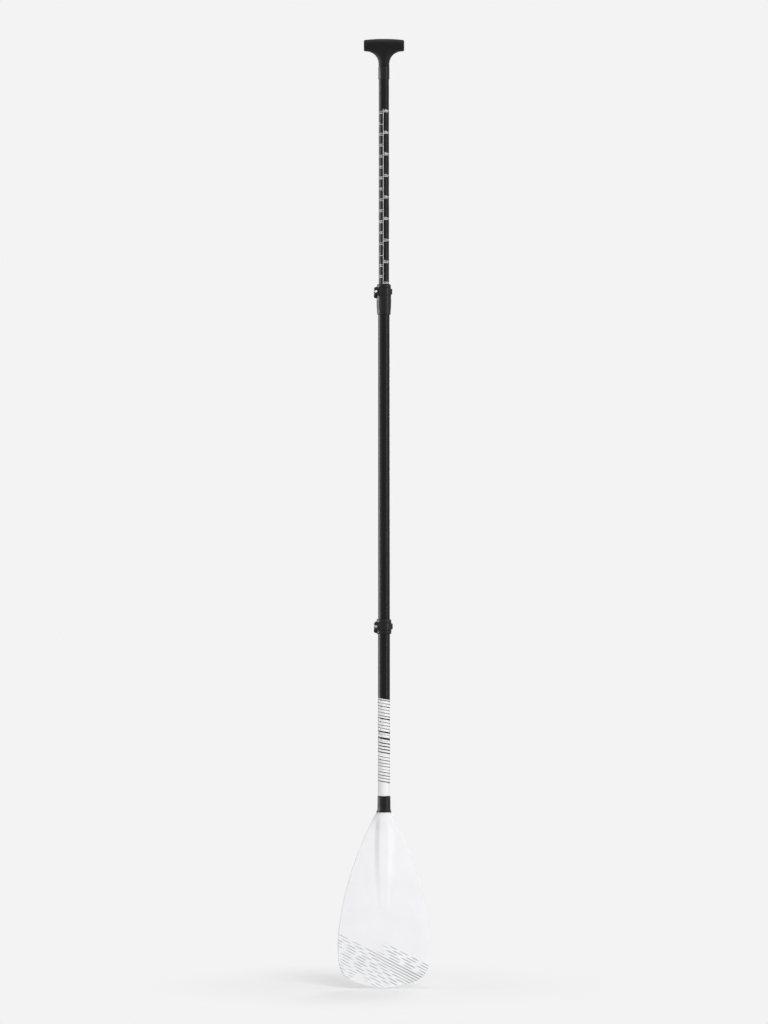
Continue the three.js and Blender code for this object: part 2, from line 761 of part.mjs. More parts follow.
// The ferrule: a round sleeve that flares into an oval mouth round the root of the blade
function neckFerrule() {
  const bore = bladeTubeRadius + seatGap;
  const steps = 4;
  const outerRings = [
    [0, ferruleTopRadius - ferruleEdgeRound, ferruleTopRadius - ferruleEdgeRound],
    [-ferruleEdgeRound, ferruleTopRadius, ferruleTopRadius],
    [-ferruleStraight, ferruleWaistRadius, ferruleWaistRadius],
  ];
  const innerRings = [
    [overrun, bore, bore],
    [-ferruleStraight, bore, bore],
  ];
  for (let i = 1; i <= steps; i += 1) {
    const share = i / steps;
    const spread = share ** 2;
    const z = -ferruleStraight - ferruleFlare * share;
    const halfWidth = ferruleWaistRadius + (ferruleMouthHalfWidth - ferruleWaistRadius) * spread;
    const halfDepth = ferruleWaistRadius + (ferruleMouthHalfDepth - ferruleWaistRadius) * spread;
    outerRings.push([z, halfWidth, halfDepth]);
    innerRings.push([z, Math.max(bore, halfWidth - ferruleWall), Math.max(bore, halfDepth - ferruleWall)]);
  }
  const [, mouthWidth, mouthDepth] = innerRings.at(-1);
  innerRings.push([-ferruleStraight - ferruleFlare - overrun, mouthWidth, mouthDepth]);
  const skin = (rings) => loft(rings.map(([z, halfWidth, halfDepth]) => (
    Array.from({ length: roundSides }, (_, i) => {
      const turn = (i / roundSides) * Math.PI * 2;
      return new THREE.Vector3(halfWidth * Math.cos(turn), halfDepth * Math.sin(turn), z);
    })
  )));
  return skin(outerRings).subtract(skin(innerRings)).translate([0, 0, -ferruleDrop]);
}

// Crowd evenly spaced shares towards every whole number
function crowd(share, amount) {
  return share - amount * Math.sin(2 * Math.PI * share) / (2 * Math.PI);
}

// How far the middle of the blade lies behind the shaft axis at a depth below the ferrule
function bladeLean(depth) {
  const slope = -Math.tan(THREE.MathUtils.degToRad(bladeRakeDegrees));
  const bend = Math.min(depth, bladeRakeRun);
  return slope * (bend ** 2 / (2 * bladeRakeRun) + depth - bend);
}

// One half of the blade's thickness: its own body, its rounded edge and the rib of that side
function bladeHalfThickness(across, halfWidth, edgeDistance, depth, rib, ribLength) {
  const run = depth / bladeLength;
  const middle = bladeMiddleThickness + (bladeTipThickness - bladeMiddleThickness) * run;
  const body = (bladeEdgeThickness + (middle - bladeEdgeThickness) * (1 - across ** 2)) / 2;
  const edge = Math.min(edgeDistance / bladeEdgeRound, 1);
  const fade = Math.max(1 - depth / ribLength, 0) ** 1.25;
  const ribHalfWidth = bladeRibNeckHalfWidth + (bladeRibTipHalfWidth - bladeRibNeckHalfWidth) * run * 2;
  const place = Math.min(Math.abs(across) * halfWidth / Math.max(ribHalfWidth, bladeRibTipHalfWidth), 1);
  const ridge = rib * fade * (1 + Math.cos(Math.PI * place)) / 2;
  return body * Math.sqrt(1 - (1 - edge) ** 2) + ridge * ease(edge);
}

// The blade with its tang; the underside of the ferrule's straight part is the top of its root
function blade() {
  const rootTop = -ferruleDrop - ferruleStraight;
  const mouth = rootTop - ferruleFlare;
  const rootRadius = bladeTubeRadius;
  const tangRadius = bladeTubeInner - seatGap;
  const tubeEnd = -bladeTubeDrop - bladeTubeLength;
  const ring = (z, halfWidth, frontAt, backAt, lean) => {
    const front = [];
    const back = [];
    for (let i = 0; i <= bladeSides; i += 1) {
      const across = crowd((2 * i) / bladeSides - 1, bladeCrowding);
      front.push(new THREE.Vector3(halfWidth * across, lean - frontAt(across), z));
      if (i > 0 && i < bladeSides) {
        back.push(new THREE.Vector3(halfWidth * across, lean + backAt(across), z));
      }
    }
    return [...front, ...back.reverse()];
  };
  const ovalRing = (z, halfWidth, halfDepth) => {
    const half = (across) => halfDepth * Math.sqrt(Math.max(1 - across ** 2, 0));
    return ring(z, halfWidth, half, half, 0);
  };
  const rings = [
    ovalRing(tubeEnd + bladeTangLength, tangRadius - bladeTangRound, tangRadius - bladeTangRound),
    ovalRing(tubeEnd + bladeTangLength - bladeTangRound, tangRadius, tangRadius),
    ovalRing(tubeEnd - seatGap, tangRadius, tangRadius),
    ovalRing(tubeEnd - seatGap, rootRadius, rootRadius),
  ];
  const mouthHalfWidth = ferruleMouthHalfWidth - ferruleWall - seatGap;
  const mouthHalfDepth = ferruleMouthHalfDepth - ferruleWall - seatGap;
  const steps = 4;
  for (let i = 0; i <= steps; i += 1) {
    const share = i / steps;
    const halfWidth = Math.max(rootRadius, mouthHalfWidthAt(share, ferruleMouthHalfWidth));
    const halfDepth = Math.max(rootRadius, mouthHalfWidthAt(share, ferruleMouthHalfDepth));
    rings.push(ovalRing(rootTop - ferruleFlare * share, halfWidth, halfDepth));
  }
  const outline = new THREE.CatmullRomCurve3(bladeOutlineShares.map(([down, out]) => (
    new THREE.Vector3(down * bladeLength, out * bladeHalfWidth, 0)
  )));
  const stations = Array.from({ length: bladeRings }, (_, i) => (
    outline.getPointAt(crowd((i + 1) / bladeRings, bladeRingCrowding))
  ));
  stations.forEach((point, i) => {
    const depth = point.x;
    const halfWidth = point.y;
    const before = i === 0 ? new THREE.Vector3(0, mouthHalfWidth, 0) : stations[i - 1];
    const after = stations[Math.min(i + 1, stations.length - 1)];
    const slope = (after.y - before.y) / (after.x - before.x);
    const square = Math.sqrt(1 + slope ** 2);
    const blend = ease(depth / bladeShoulderLength);
    const half = (rib, ribLength) => (across) => {
      const edgeDistance = halfWidth * (1 - Math.abs(across)) / square;
      const flat = bladeHalfThickness(across, halfWidth, edgeDistance, depth, rib, ribLength);
      const oval = mouthHalfDepth * Math.sqrt(Math.max(1 - across ** 2, 0));
      return oval + (flat - oval) * blend;
    };
    const front = half(bladeFrontRib, bladeFrontRibLength);
    const back = half(bladeBackRib, bladeBackRibLength);
    rings.push(ring(mouth - depth, halfWidth, front, back, bladeLean(depth)));
  });
  return loft(rings);
}

// Half a size of the blade's root inside the flare of the ferrule, at a share of the way down the flare
function mouthHalfWidthAt(share, mouthHalf) {
  return ferruleWaistRadius + (mouthHalf - ferruleWaistRadius) * share ** 2 - ferruleWall - seatGap;
}

// Drop from the top of the lower collar to the end of the blade tube under its lip
const bladeTubeDrop = lowerLipHeight + seatGap;

// The blade section, with the top of its collar at the given height
function bladeSection(height) {
  const tubeTop = -bladeTubeDrop;
  const slot = block(
    [-bladeTubeRadius - overrun, -bladeTubeSlotWidth / 2, tubeTop - bladeTubeSlotLength],
    [0, bladeTubeSlotWidth / 2, tubeTop + overrun],
  );
  const shaft = tube(bladeTubeRadius, bladeTubeInner, tubeTop - bladeTubeLength, tubeTop)
    .subtract(slot)
    .subtract(buttonHole().translate([0, 0, seatGap]));
  const stopper = roundBar(bladeTubeInner - seatGap, -stopperDrop - stopperLength, -stopperDrop);
  return groupAt(height, [
    clamp('lower', 0, lowerCollar, lowerClampCollar(), false),
    piece('blade_tube', shaft, tubeWhite),
    piece('blade_tube_stopper', stopper, foamGrey),
    piece('neck_ferrule', neckFerrule(), clampBlack),
    piece('blade', blade(), bladeWhite),
  ]);
}

// The whole paddle, set at the longest length printed on the handle
const paddle = groupAt(-holderHeight, [
  handleSection(collarTopHeight + handleShown),
  middleShaft(0),
  bladeSection(-seatGap),
]);

export default paddle;
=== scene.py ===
"""Looks of an adjustable single blade paddle: finishes, printed height scale, fine blade skin and studio."""

import json
import logging
import math
from dataclasses import dataclass
from enum import Enum
from typing import Iterable, Sequence

import bmesh
import bpy
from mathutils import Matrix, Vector

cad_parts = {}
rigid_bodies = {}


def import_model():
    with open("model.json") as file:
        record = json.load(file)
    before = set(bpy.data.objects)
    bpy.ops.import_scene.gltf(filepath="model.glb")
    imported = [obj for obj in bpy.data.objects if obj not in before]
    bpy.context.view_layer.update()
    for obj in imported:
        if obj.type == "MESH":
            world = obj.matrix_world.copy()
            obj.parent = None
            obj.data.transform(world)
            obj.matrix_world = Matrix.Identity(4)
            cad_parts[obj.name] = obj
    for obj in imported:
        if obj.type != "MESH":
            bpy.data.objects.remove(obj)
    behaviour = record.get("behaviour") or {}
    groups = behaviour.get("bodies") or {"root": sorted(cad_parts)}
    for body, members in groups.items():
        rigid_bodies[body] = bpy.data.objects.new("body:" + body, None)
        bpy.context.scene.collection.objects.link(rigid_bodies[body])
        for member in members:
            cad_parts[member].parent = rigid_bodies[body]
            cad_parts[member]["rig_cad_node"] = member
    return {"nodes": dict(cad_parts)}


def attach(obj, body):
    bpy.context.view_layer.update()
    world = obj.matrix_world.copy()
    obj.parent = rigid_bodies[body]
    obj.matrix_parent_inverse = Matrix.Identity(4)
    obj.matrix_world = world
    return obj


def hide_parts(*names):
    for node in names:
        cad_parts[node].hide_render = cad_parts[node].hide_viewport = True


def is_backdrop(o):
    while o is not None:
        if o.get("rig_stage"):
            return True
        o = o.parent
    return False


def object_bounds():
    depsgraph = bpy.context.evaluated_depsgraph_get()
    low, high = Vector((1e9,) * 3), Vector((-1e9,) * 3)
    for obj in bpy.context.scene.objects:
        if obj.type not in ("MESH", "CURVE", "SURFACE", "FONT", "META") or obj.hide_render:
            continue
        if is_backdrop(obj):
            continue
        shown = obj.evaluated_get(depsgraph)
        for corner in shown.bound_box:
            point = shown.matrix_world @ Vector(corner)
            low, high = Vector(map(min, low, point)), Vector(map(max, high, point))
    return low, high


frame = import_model()

LOG = logging.getLogger("paddle")
MM = 0.001

Colour = tuple[float, float, float]
Corner = tuple[float, float, float]
Value = object


class BladeFace(Enum):
    """The two faces of the blade, and the direction along Y that each looks in."""

    RIBBED = -1.0
    SMOOTH = 1.0


class WordHold(Enum):
    """Which place of a printed word is given, as the share of the word that lies to its left."""

    LEFT = 0.0
    MIDDLE = 0.5
    RIGHT = 1.0


def shade(red: int, green: int, blue: int) -> Colour:
    """Turn a colour as seen on a screen into the light values that a shader takes.

    Args:
        red: Red from 0 to 255.
        green: Green from 0 to 255.
        blue: Blue from 0 to 255.

    Returns:
        The three linear values.
    """

    def linear(part: int) -> float:
        """Return one part as a linear value."""
        share = part / 255
        return share / 12.92 if share <= 0.04045 else ((share + 0.055) / 1.055) ** 2.4

    return linear(red), linear(green), linear(blue)


def ease(value: float) -> float:
    """Return a smooth step from 0 to 1."""
    held = min(max(value, 0.0), 1.0)
    return held * held * (3 - 2 * held)


def crowd(share: float, amount: float) -> float:
    """Crowd an evenly spaced share towards the nearest whole number, by an amount from 0 to 1."""
    return share - amount * math.sin(2 * math.pi * share) / (2 * math.pi)


def smooth_line(knots: Sequence[tuple[float, float]], steps: int = 40) -> list[tuple[float, float]]:
    """Run a centripetal spline through knots.

    Args:
        knots: The points that the line goes through.
        steps: How many pieces lie between two knots.

    Returns:
        Close points on the line, from the first knot to the last.
    """
    first = tuple(2 * a - b for a, b in zip(knots[0], knots[1]))
    last = tuple(2 * a - b for a, b in zip(knots[-1], knots[-2]))
    line = [first, *knots, last]
    points = [tuple(knots[0])]
    for span in zip(line, line[1:], line[2:], line[3:]):
        gap0, gap1, gap2 = (max(math.dist(a, b) ** 0.5, 1e-4) for a, b in zip(span, span[1:]))
        curves = []
        for x0, x1, x2, x3 in zip(*span):
            start = ((x1 - x0) / gap0 - (x2 - x0) / (gap0 + gap1) + (x2 - x1) / gap1) * gap1
            end = ((x2 - x1) / gap1 - (x3 - x1) / (gap1 + gap2) + (x3 - x2) / gap2) * gap1
            curves.append((x1, start, 3 * (x2 - x1) - 2 * start - end, 2 * (x1 - x2) + start + end))
        for step in range(1, steps + 1):
            t = step / steps
            points.append(tuple(a + t * (b + t * (c + t * d)) for a, b, c, d in curves))
    return points


def read_line(line: Sequence[tuple[float, float]], place: float) -> float:
    """Read a line of points whose first numbers rise.

    Args:
        line: The points.
        place: Where the first number is.

    Returns:
        The second number there.
    """
    for (x0, y0), (x1, y1) in zip(line, line[1:]):
        if place <= x1:
            return y0 + (y1 - y0) * max(place - x0, 0.0) / max(x1 - x0, 1e-9)
    return line[-1][1]


def loft(rings: Sequence[Sequence[Corner]]) -> tuple[list[Corner], list[Sequence[int]]]:
    """Join rings of points into a closed skin with a flat face over each end.

    Args:
        rings: Rings of as many points each.

    Returns:
        The points and the faces.
    """
    count = len(rings[0])
    points = [point for ring in rings for point in ring]
    faces: list[Sequence[int]] = []
    for first in range(0, len(points) - count, count):
        for i in range(count):
            a, b = first + i, first + (i + 1) % count
            faces.append((a, a + count, b + count, b))
    faces.append(list(range(count)))
    faces.append([len(points) - 1 - i for i in range(count)])
    return points, faces


def into_scene(name: str, data: bpy.types.ID) -> bpy.types.Object:
    """Put a new object into the scene.

    Args:
        name: Its name.
        data: Its mesh, lamp, camera or text.

    Returns:
        The object.
    """
    thing = bpy.data.objects.new(name, data)
    bpy.context.scene.collection.objects.link(thing)
    return thing


class Sheet:
    """Adds nodes to one node tree and wires them up."""

    column_width = 190
    luck_shift = 40.25

    def __init__(self, tree: bpy.types.NodeTree) -> None:
        """Take the tree that the nodes go into."""
        self.tree = tree
        self.column = 0

    @classmethod
    def blank(cls, owner: bpy.types.Material | bpy.types.World) -> "Sheet":
        """Give a material or a world an empty node tree.

        Args:
            owner: The material or world.

        Returns:
            A sheet for its nodes.
        """
        owner.use_nodes = True
        owner.node_tree.nodes.clear()
        return cls(owner.node_tree)

    def add(self, kind: str, **settings: Value) -> bpy.types.Node:
        """Add a node.

        Args:
            kind: The node's type name.
            settings: Properties of the node.

        Returns:
            The new node.
        """
        node = self.tree.nodes.new(kind)
        for key, value in settings.items():
            setattr(node, key, value)
        self.column += 1
        node.location = (self.column * self.column_width, 0)
        return node

    def put(self, socket: bpy.types.NodeSocket, value: Value) -> None:
        """Wire a socket into another one, or give it a plain value.

        Args:
            socket: The input.
            value: A socket or a plain value.
        """
        if isinstance(value, bpy.types.NodeSocket):
            self.tree.links.new(value, socket)
        else:
            socket.default_value = value

    def calc(self, operation: str, *values: Value) -> bpy.types.NodeSocket:
        """Add a sum.

        Args:
            operation: The name of the sum.
            values: Numbers or sockets that go in.

        Returns:
            The socket with the result.
        """
        node = self.add("ShaderNodeMath", operation=operation)
        for socket, value in zip(node.inputs, values):
            self.put(socket, value)
        return node.outputs[0]

    def spread(self, value: Value, low: float, high: float, to_low: Value = 0.0, to_high: Value = 1.0,
               smooth: bool = False) -> bpy.types.NodeSocket:
        """Stretch one range of a value over another, and hold it inside that.

        Args:
            value: What is stretched.
            low: Where the first range starts.
            high: Where the first range ends.
            to_low: Where the second range starts.
            to_high: Where the second range ends.
            smooth: Whether the step is eased at both ends.

        Returns:
            The socket with the stretched value.
        """
        node = self.add("ShaderNodeMapRange", interpolation_type="SMOOTHSTEP" if smooth else "LINEAR")
        for name, part in zip(("Value", "From Min", "From Max", "To Min", "To Max"),
                              (value, low, high, to_low, to_high)):
            self.put(node.inputs[name], part)
        return node.outputs["Result"]

    def blend(self, factor: Value, first: Value, second: Value) -> bpy.types.NodeSocket:
        """Blend two colours.

        Args:
            factor: 0 for the first colour, 1 for the second.
            first: A socket, or a colour of three numbers.
            second: A socket, or a colour of three numbers.

        Returns:
            The socket with the blended colour.
        """
        node = self.add("ShaderNodeMix", data_type="RGBA")
        self.put(node.inputs[0], factor)
        for socket, colour in ((node.inputs[6], first), (node.inputs[7], second)):
            self.put(socket, colour if isinstance(colour, bpy.types.NodeSocket) else (*colour, 1.0))
        return node.outputs[2]

    def noise(self, vector: Value, scale: Value, detail: float = 2.0, harshness: float = 0.5,
              dimensions: str = "3D") -> bpy.types.NodeSocket:
        """Add cloudy noise.

        Args:
            vector: The place that the noise is read at.
            scale: How many clouds there are to a metre of that place.
            detail: How many finer layers are added.
            harshness: How strong the finer layers are.
            dimensions: Whether the noise is flat or solid.

        Returns:
            The socket with the noise, around 0.5.
        """
        node = self.add("ShaderNodeTexNoise", noise_dimensions=dimensions)
        self.put(node.inputs["Vector"], vector)
        self.put(node.inputs["Scale"], scale)
        self.put(node.inputs["Detail"], detail)
        self.put(node.inputs["Roughness"], harshness)
        return node.outputs[0]

    def place(self) -> bpy.types.NodeSocket:
        """Return the place on the piece at rest, in metres."""
        return self.add("ShaderNodeTexCoord").outputs["Object"]

    def stretch(self, vector: Value, scale: Corner, turn: Corner = (0.0, 0.0, 0.0)) -> bpy.types.NodeSocket:
        """Stretch and turn a place.

        Args:
            vector: The place.
            scale: The factor along each axis.
            turn: The turn about each axis, in degrees.

        Returns:
            The socket with the new place.
        """
        node = self.add("ShaderNodeMapping")
        self.put(node.inputs["Vector"], vector)
        self.put(node.inputs["Scale"], scale)
        self.put(node.inputs["Rotation"], tuple(math.radians(part) for part in turn))
        return node.outputs[0]

    def luck(self, first: Value, second: Value) -> list[bpy.types.NodeSocket]:
        """Draw random numbers that stay the same for the same pair of numbers.

        The pair is moved away from zero, because zero and minus zero would draw different numbers.

        Args:
            first: One number of the pair.
            second: The other number.

        Returns:
            Three sockets with numbers from 0 to 1.
        """
        pair = self.add("ShaderNodeCombineXYZ")
        for socket, value in zip(pair.inputs, (first, second)):
            self.put(socket, self.calc("ADD", value, self.luck_shift))
        dice = self.add("ShaderNodeTexWhiteNoise", noise_dimensions="2D")
        self.put(dice.inputs["Vector"], pair.outputs[0])
        parts = self.add("ShaderNodeSeparateColor")
        self.put(parts.inputs[0], dice.outputs["Color"])
        return [parts.outputs[i] for i in range(3)]

    def group(self, tree: bpy.types.NodeTree, **values: Value) -> bpy.types.Node:
        """Place a node group.

        Args:
            tree: The group.
            values: Its inputs by name, with low lines for spaces.

        Returns:
            The group's node.
        """
        node = self.add("ShaderNodeGroup", node_tree=tree)
        for key, value in values.items():
            self.put(node.inputs[key.replace("_", " ")], value)
        return node


class Effects:
    """The effects that several finishes share, each a node group that is made once."""

    weld_distance = 0.000002
    sharp_degrees = 50.0

    def __init__(self) -> None:
        """Make the groups."""
        self.grain = self._grain()
        self.scuffs = self._scuffs()
        self.edges = self._edges()
        self.mottle = self._mottle()
        self.smoothing = self._smoothing()

    @staticmethod
    def _open(name: str, ways_in: dict[str, float], ways_out: dict[str, str]) -> tuple[Sheet, Value, Value]:
        """Start a shader group.

        Args:
            name: The group's name.
            ways_in: Number inputs and their usual values.
            ways_out: Outputs and their socket types.

        Returns:
            A sheet for its nodes, the node with its inputs and the node with its outputs.
        """
        tree = bpy.data.node_groups.new(name, "ShaderNodeTree")
        for key, usual in ways_in.items():
            socket = tree.interface.new_socket(key, in_out="INPUT", socket_type="NodeSocketFloat")
            socket.default_value = usual
        for key, kind in ways_out.items():
            tree.interface.new_socket(key, in_out="OUTPUT", socket_type=kind)
        sheet = Sheet(tree)
        return sheet, sheet.add("NodeGroupInput").outputs, sheet.add("NodeGroupOutput").inputs

    def _grain(self) -> bpy.types.NodeTree:
        """Make the fine grain of a moulded or lacquered surface.

        Returns:
            The group, which gives a height and a roughness.
        """
        sheet, given, made = self._open(
            "Surface grain",
            {"Size": 0.0006, "Roughness": 0.5, "Spread": 0.1},
            {"Height": "NodeSocketFloat", "Roughness": "NodeSocketFloat"},
        )
        coarser, fine_share, average = 0.04, 0.4, 0.7
        place = sheet.place()
        fine = sheet.noise(place, sheet.calc("DIVIDE", 1.0, given["Size"]), 3.0, 0.6)
        broad = sheet.noise(place, sheet.calc("DIVIDE", coarser, given["Size"]), 3.0, 0.55)
        both = sheet.calc("ADD", broad, sheet.calc("MULTIPLY", fine, fine_share))
        swing = sheet.calc("SUBTRACT", both, average)
        reach = sheet.calc("MULTIPLY", given["Spread"], 2.0)
        sheet.put(made["Height"], fine)
        sheet.put(made["Roughness"], sheet.calc("MULTIPLY_ADD", swing, reach, given["Roughness"]))
        return sheet.tree

    def _scuffs(self) -> bpy.types.NodeTree:
        """Make thin handling marks, mostly along the shaft and a few across it.

        Returns:
            The group, which gives a mask.
        """
        sheet, given, made = self._open(
            "Handling scuffs",
            {"Amount": 0.3, "Size": 0.001},
            {"Mask": "NodeSocketFloat"},
        )
        turns_and_lengths = (((4.0, 7.0, 0.0), 0.035), ((38.0, 61.0, 10.0), 0.06))
        line_edge, patch_edge, patches_per_metre = (0.69, 0.74), (0.48, 0.66), 35.0
        place = sheet.place()
        scale = sheet.calc("DIVIDE", 1.0, given["Size"])
        layers = []
        for turn, squeeze in turns_and_lengths:
            lines = sheet.noise(sheet.stretch(place, (1.0, 1.0, squeeze), turn), scale, 1.0)
            layers.append(sheet.spread(lines, *line_edge))
        patches = sheet.spread(sheet.noise(place, patches_per_metre, 2.0), *patch_edge)
        marks = sheet.calc("MULTIPLY", sheet.calc("MAXIMUM", *layers), patches)
        sheet.put(made["Mask"], sheet.calc("MULTIPLY", marks, given["Amount"]))
        return sheet.tree

    def _edges(self) -> bpy.types.NodeTree:
        """Make softly broken edges and the rub that they get.

        Returns:
            The group, which gives a normal and a mask.
        """
        sheet, given, made = self._open(
            "Broken edges",
            {"Radius": 0.0003, "Amount": 0.3},
            {"Normal": "NodeSocketVector", "Mask": "NodeSocketFloat"},
        )
        bend_edge, patch_edge, patches_per_metre = (0.03, 0.22), (0.42, 0.62), 260.0
        bevel = sheet.add("ShaderNodeBevel", samples=6)
        sheet.put(bevel.inputs["Radius"], given["Radius"])
        surface = sheet.add("ShaderNodeNewGeometry").outputs["Normal"]
        match = sheet.add("ShaderNodeVectorMath", operation="DOT_PRODUCT")
        sheet.put(match.inputs[0], bevel.outputs[0])
        sheet.put(match.inputs[1], surface)
        bend = sheet.spread(sheet.calc("SUBTRACT", 1.0, match.outputs["Value"]), *bend_edge)
        patches = sheet.spread(sheet.noise(sheet.place(), patches_per_metre, 3.0, 0.6), *patch_edge)
        rub = sheet.calc("MULTIPLY", sheet.calc("MULTIPLY", bend, patches), given["Amount"])
        sheet.put(made["Normal"], bevel.outputs[0])
        sheet.put(made["Mask"], rub)
        return sheet.tree

    def _mottle(self) -> bpy.types.NodeTree:
        """Make a faint cloudiness of colour.

        Returns:
            The group, which gives a mask around a half.
        """
        sheet, given, made = self._open(
            "Cloudy colour",
            {"Size": 0.03, "Contrast": 0.5},
            {"Mask": "NodeSocketFloat"},
        )
        clouds = sheet.noise(sheet.place(), sheet.calc("DIVIDE", 1.0, given["Size"]), 4.0, 0.55)
        swing = sheet.calc("SUBTRACT", clouds, 0.5)
        strength = sheet.calc("MULTIPLY", given["Contrast"], 4.0)
        sheet.put(made["Mask"], sheet.calc("MULTIPLY_ADD", swing, strength, 0.5))
        return sheet.tree

    def _smoothing(self) -> bpy.types.NodeTree:
        """Make the geometry group that welds a solid's facets and shades its rounded forms smooth.

        Returns:
            The group.
        """
        tree = bpy.data.node_groups.new("Welded and smooth", "GeometryNodeTree")
        tree.interface.new_socket("Geometry", in_out="INPUT", socket_type="NodeSocketGeometry")
        limit = tree.interface.new_socket("Sharp above", in_out="INPUT", socket_type="NodeSocketFloat")
        limit.default_value = math.radians(self.sharp_degrees)
        tree.interface.new_socket("Geometry", in_out="OUTPUT", socket_type="NodeSocketGeometry")
        sheet = Sheet(tree)
        given = sheet.add("NodeGroupInput").outputs
        weld = sheet.add("GeometryNodeMergeByDistance")
        sheet.put(weld.inputs["Geometry"], given["Geometry"])
        sheet.put(weld.inputs["Distance"], self.weld_distance)
        angle = sheet.add("GeometryNodeInputMeshEdgeAngle").outputs["Unsigned Angle"]
        sharp = sheet.add("FunctionNodeCompare", data_type="FLOAT", operation="GREATER_THAN")
        sheet.put(sharp.inputs[0], angle)
        sheet.put(sharp.inputs[1], given["Sharp above"])
        faces = sheet.add("GeometryNodeSetShadeSmooth", domain="FACE")
        sheet.put(faces.inputs["Geometry"], weld.outputs[0])
        edges = sheet.add("GeometryNodeSetShadeSmooth", domain="EDGE")
        sheet.put(edges.inputs["Geometry"], faces.outputs[0])
        sheet.put(edges.inputs["Selection"], sharp.outputs[0])
        sheet.put(edges.inputs["Shade Smooth"], False)
        sheet.put(sheet.add("NodeGroupOutput").inputs["Geometry"], edges.outputs[0])
        return tree


@dataclass(frozen=True)
class Finish:
    """A plain finish: one colour with grain, handling marks and rubbed edges."""

    name: str
    colour: Colour
    cloud: Colour
    roughness: float
    spread: float = 0.08
    metallic: float = 0.0
    gloss: float = 0.5
    coat: float = 0.0
    grain_size: float = 0.0006
    grain_depth: float = 0.00002
    scuff: float = 0.2
    scuff_size: float = 0.001
    rub: float = 0.25
    edge_radius: float = 0.0003
    rubbed: Colour = (0.12, 0.12, 0.12)
    coat_roughness: float = 0.12
    wear_roughness: float = 0.12
    cloud_size: float = 0.03
    cloud_contrast: float = 0.5

    def clouded(self, sheet: Sheet, effects: Effects) -> bpy.types.NodeSocket:
        """Return the colour with its faint cloudiness."""
        return sheet.blend(self.clouds(sheet, effects), self.colour, self.cloud)

    def clouds(self, sheet: Sheet, effects: Effects) -> bpy.types.NodeSocket:
        """Return the faint cloudiness of the colour, as a mask."""
        mottle = sheet.group(effects.mottle, Size=self.cloud_size, Contrast=self.cloud_contrast)
        return mottle.outputs["Mask"]

    def ground(self, sheet: Sheet, effects: Effects) -> bpy.types.NodeSocket:
        """Return the colour of the surface before marks and rubbed edges."""
        return self.clouded(sheet, effects)

    def build(self, effects: Effects) -> bpy.types.Material:
        """Make the material.

        Args:
            effects: The shared effects.

        Returns:
            The material.
        """
        material = bpy.data.materials.new(self.name)
        sheet = Sheet.blank(material)
        shader = sheet.add("ShaderNodeBsdfPrincipled")
        for socket, value in (("Metallic", self.metallic), ("Specular IOR Level", self.gloss),
                              ("Coat Weight", self.coat), ("Coat Roughness", self.coat_roughness)):
            shader.inputs[socket].default_value = value
        grain = sheet.group(effects.grain, Size=self.grain_size, Roughness=self.roughness,
                            Spread=self.spread).outputs
        scuffs = sheet.group(effects.scuffs, Amount=self.scuff, Size=self.scuff_size).outputs["Mask"]
        edges = sheet.group(effects.edges, Radius=self.edge_radius, Amount=self.rub).outputs
        worn = sheet.calc("MAXIMUM", scuffs, edges["Mask"])
        sheet.put(shader.inputs["Base Color"], sheet.blend(worn, self.ground(sheet, effects), self.rubbed))
        sheet.put(shader.inputs["Roughness"],
                  sheet.calc("MULTIPLY_ADD", worn, self.wear_roughness, grain["Roughness"]))
        bump = sheet.add("ShaderNodeBump")
        bump.inputs["Distance"].default_value = self.grain_depth
        sheet.put(bump.inputs["Height"], sheet.calc("SUBTRACT", grain["Height"], worn))
        sheet.put(bump.inputs["Normal"], edges["Normal"])
        sheet.put(shader.inputs["Normal"], bump.outputs[0])
        out = sheet.add("ShaderNodeOutputMaterial")
        sheet.put(out.inputs["Surface"], shader.outputs[0])
        return material


@dataclass(frozen=True)
class BrushedMetal(Finish):
    """Plated metal whose colour carries fine turned lines."""

    cloud_size: float = 0.004
    cloud_contrast: float = 0.8
    line_stretch: Corner = (1.0, 14.0, 1.0)
    lines_per_metre: float = 900.0
    line_share: float = 0.5

    def ground(self, sheet: Sheet, effects: Effects) -> bpy.types.NodeSocket:
        """Return plated metal with fine lines and a faint cloudiness.

        Args:
            sheet: The sheet of the material.
            effects: The shared effects.

        Returns:
            The socket with the colour.
        """
        lines = sheet.noise(sheet.stretch(sheet.place(), self.line_stretch), self.lines_per_metre, 2.0)
        clouds = sheet.calc("MULTIPLY", self.clouds(sheet, effects), 1 - self.line_share)
        share = sheet.calc("MULTIPLY_ADD", lines, self.line_share, clouds)
        return sheet.blend(share, self.colour, self.cloud)


@dataclass(frozen=True)
class FoamFinish(Finish):
    """Closed-cell foam, with its cells as a pattern of colour."""

    cells_per_metre: float = 900.0
    cell_edge: tuple[float, float] = (0.1, 0.7)

    def ground(self, sheet: Sheet, effects: Effects) -> bpy.types.NodeSocket:
        """Return the foam's cells, darker in their middles.

        Args:
            sheet: The sheet of the material.
            effects: The shared effects, which foam does without.

        Returns:
            The socket with the colour.
        """
        cells = sheet.add("ShaderNodeTexVoronoi")
        sheet.put(cells.inputs["Vector"], sheet.place())
        sheet.put(cells.inputs["Scale"], self.cells_per_metre)
        return sheet.blend(sheet.spread(cells.outputs["Distance"], *self.cell_edge), self.cloud, self.colour)


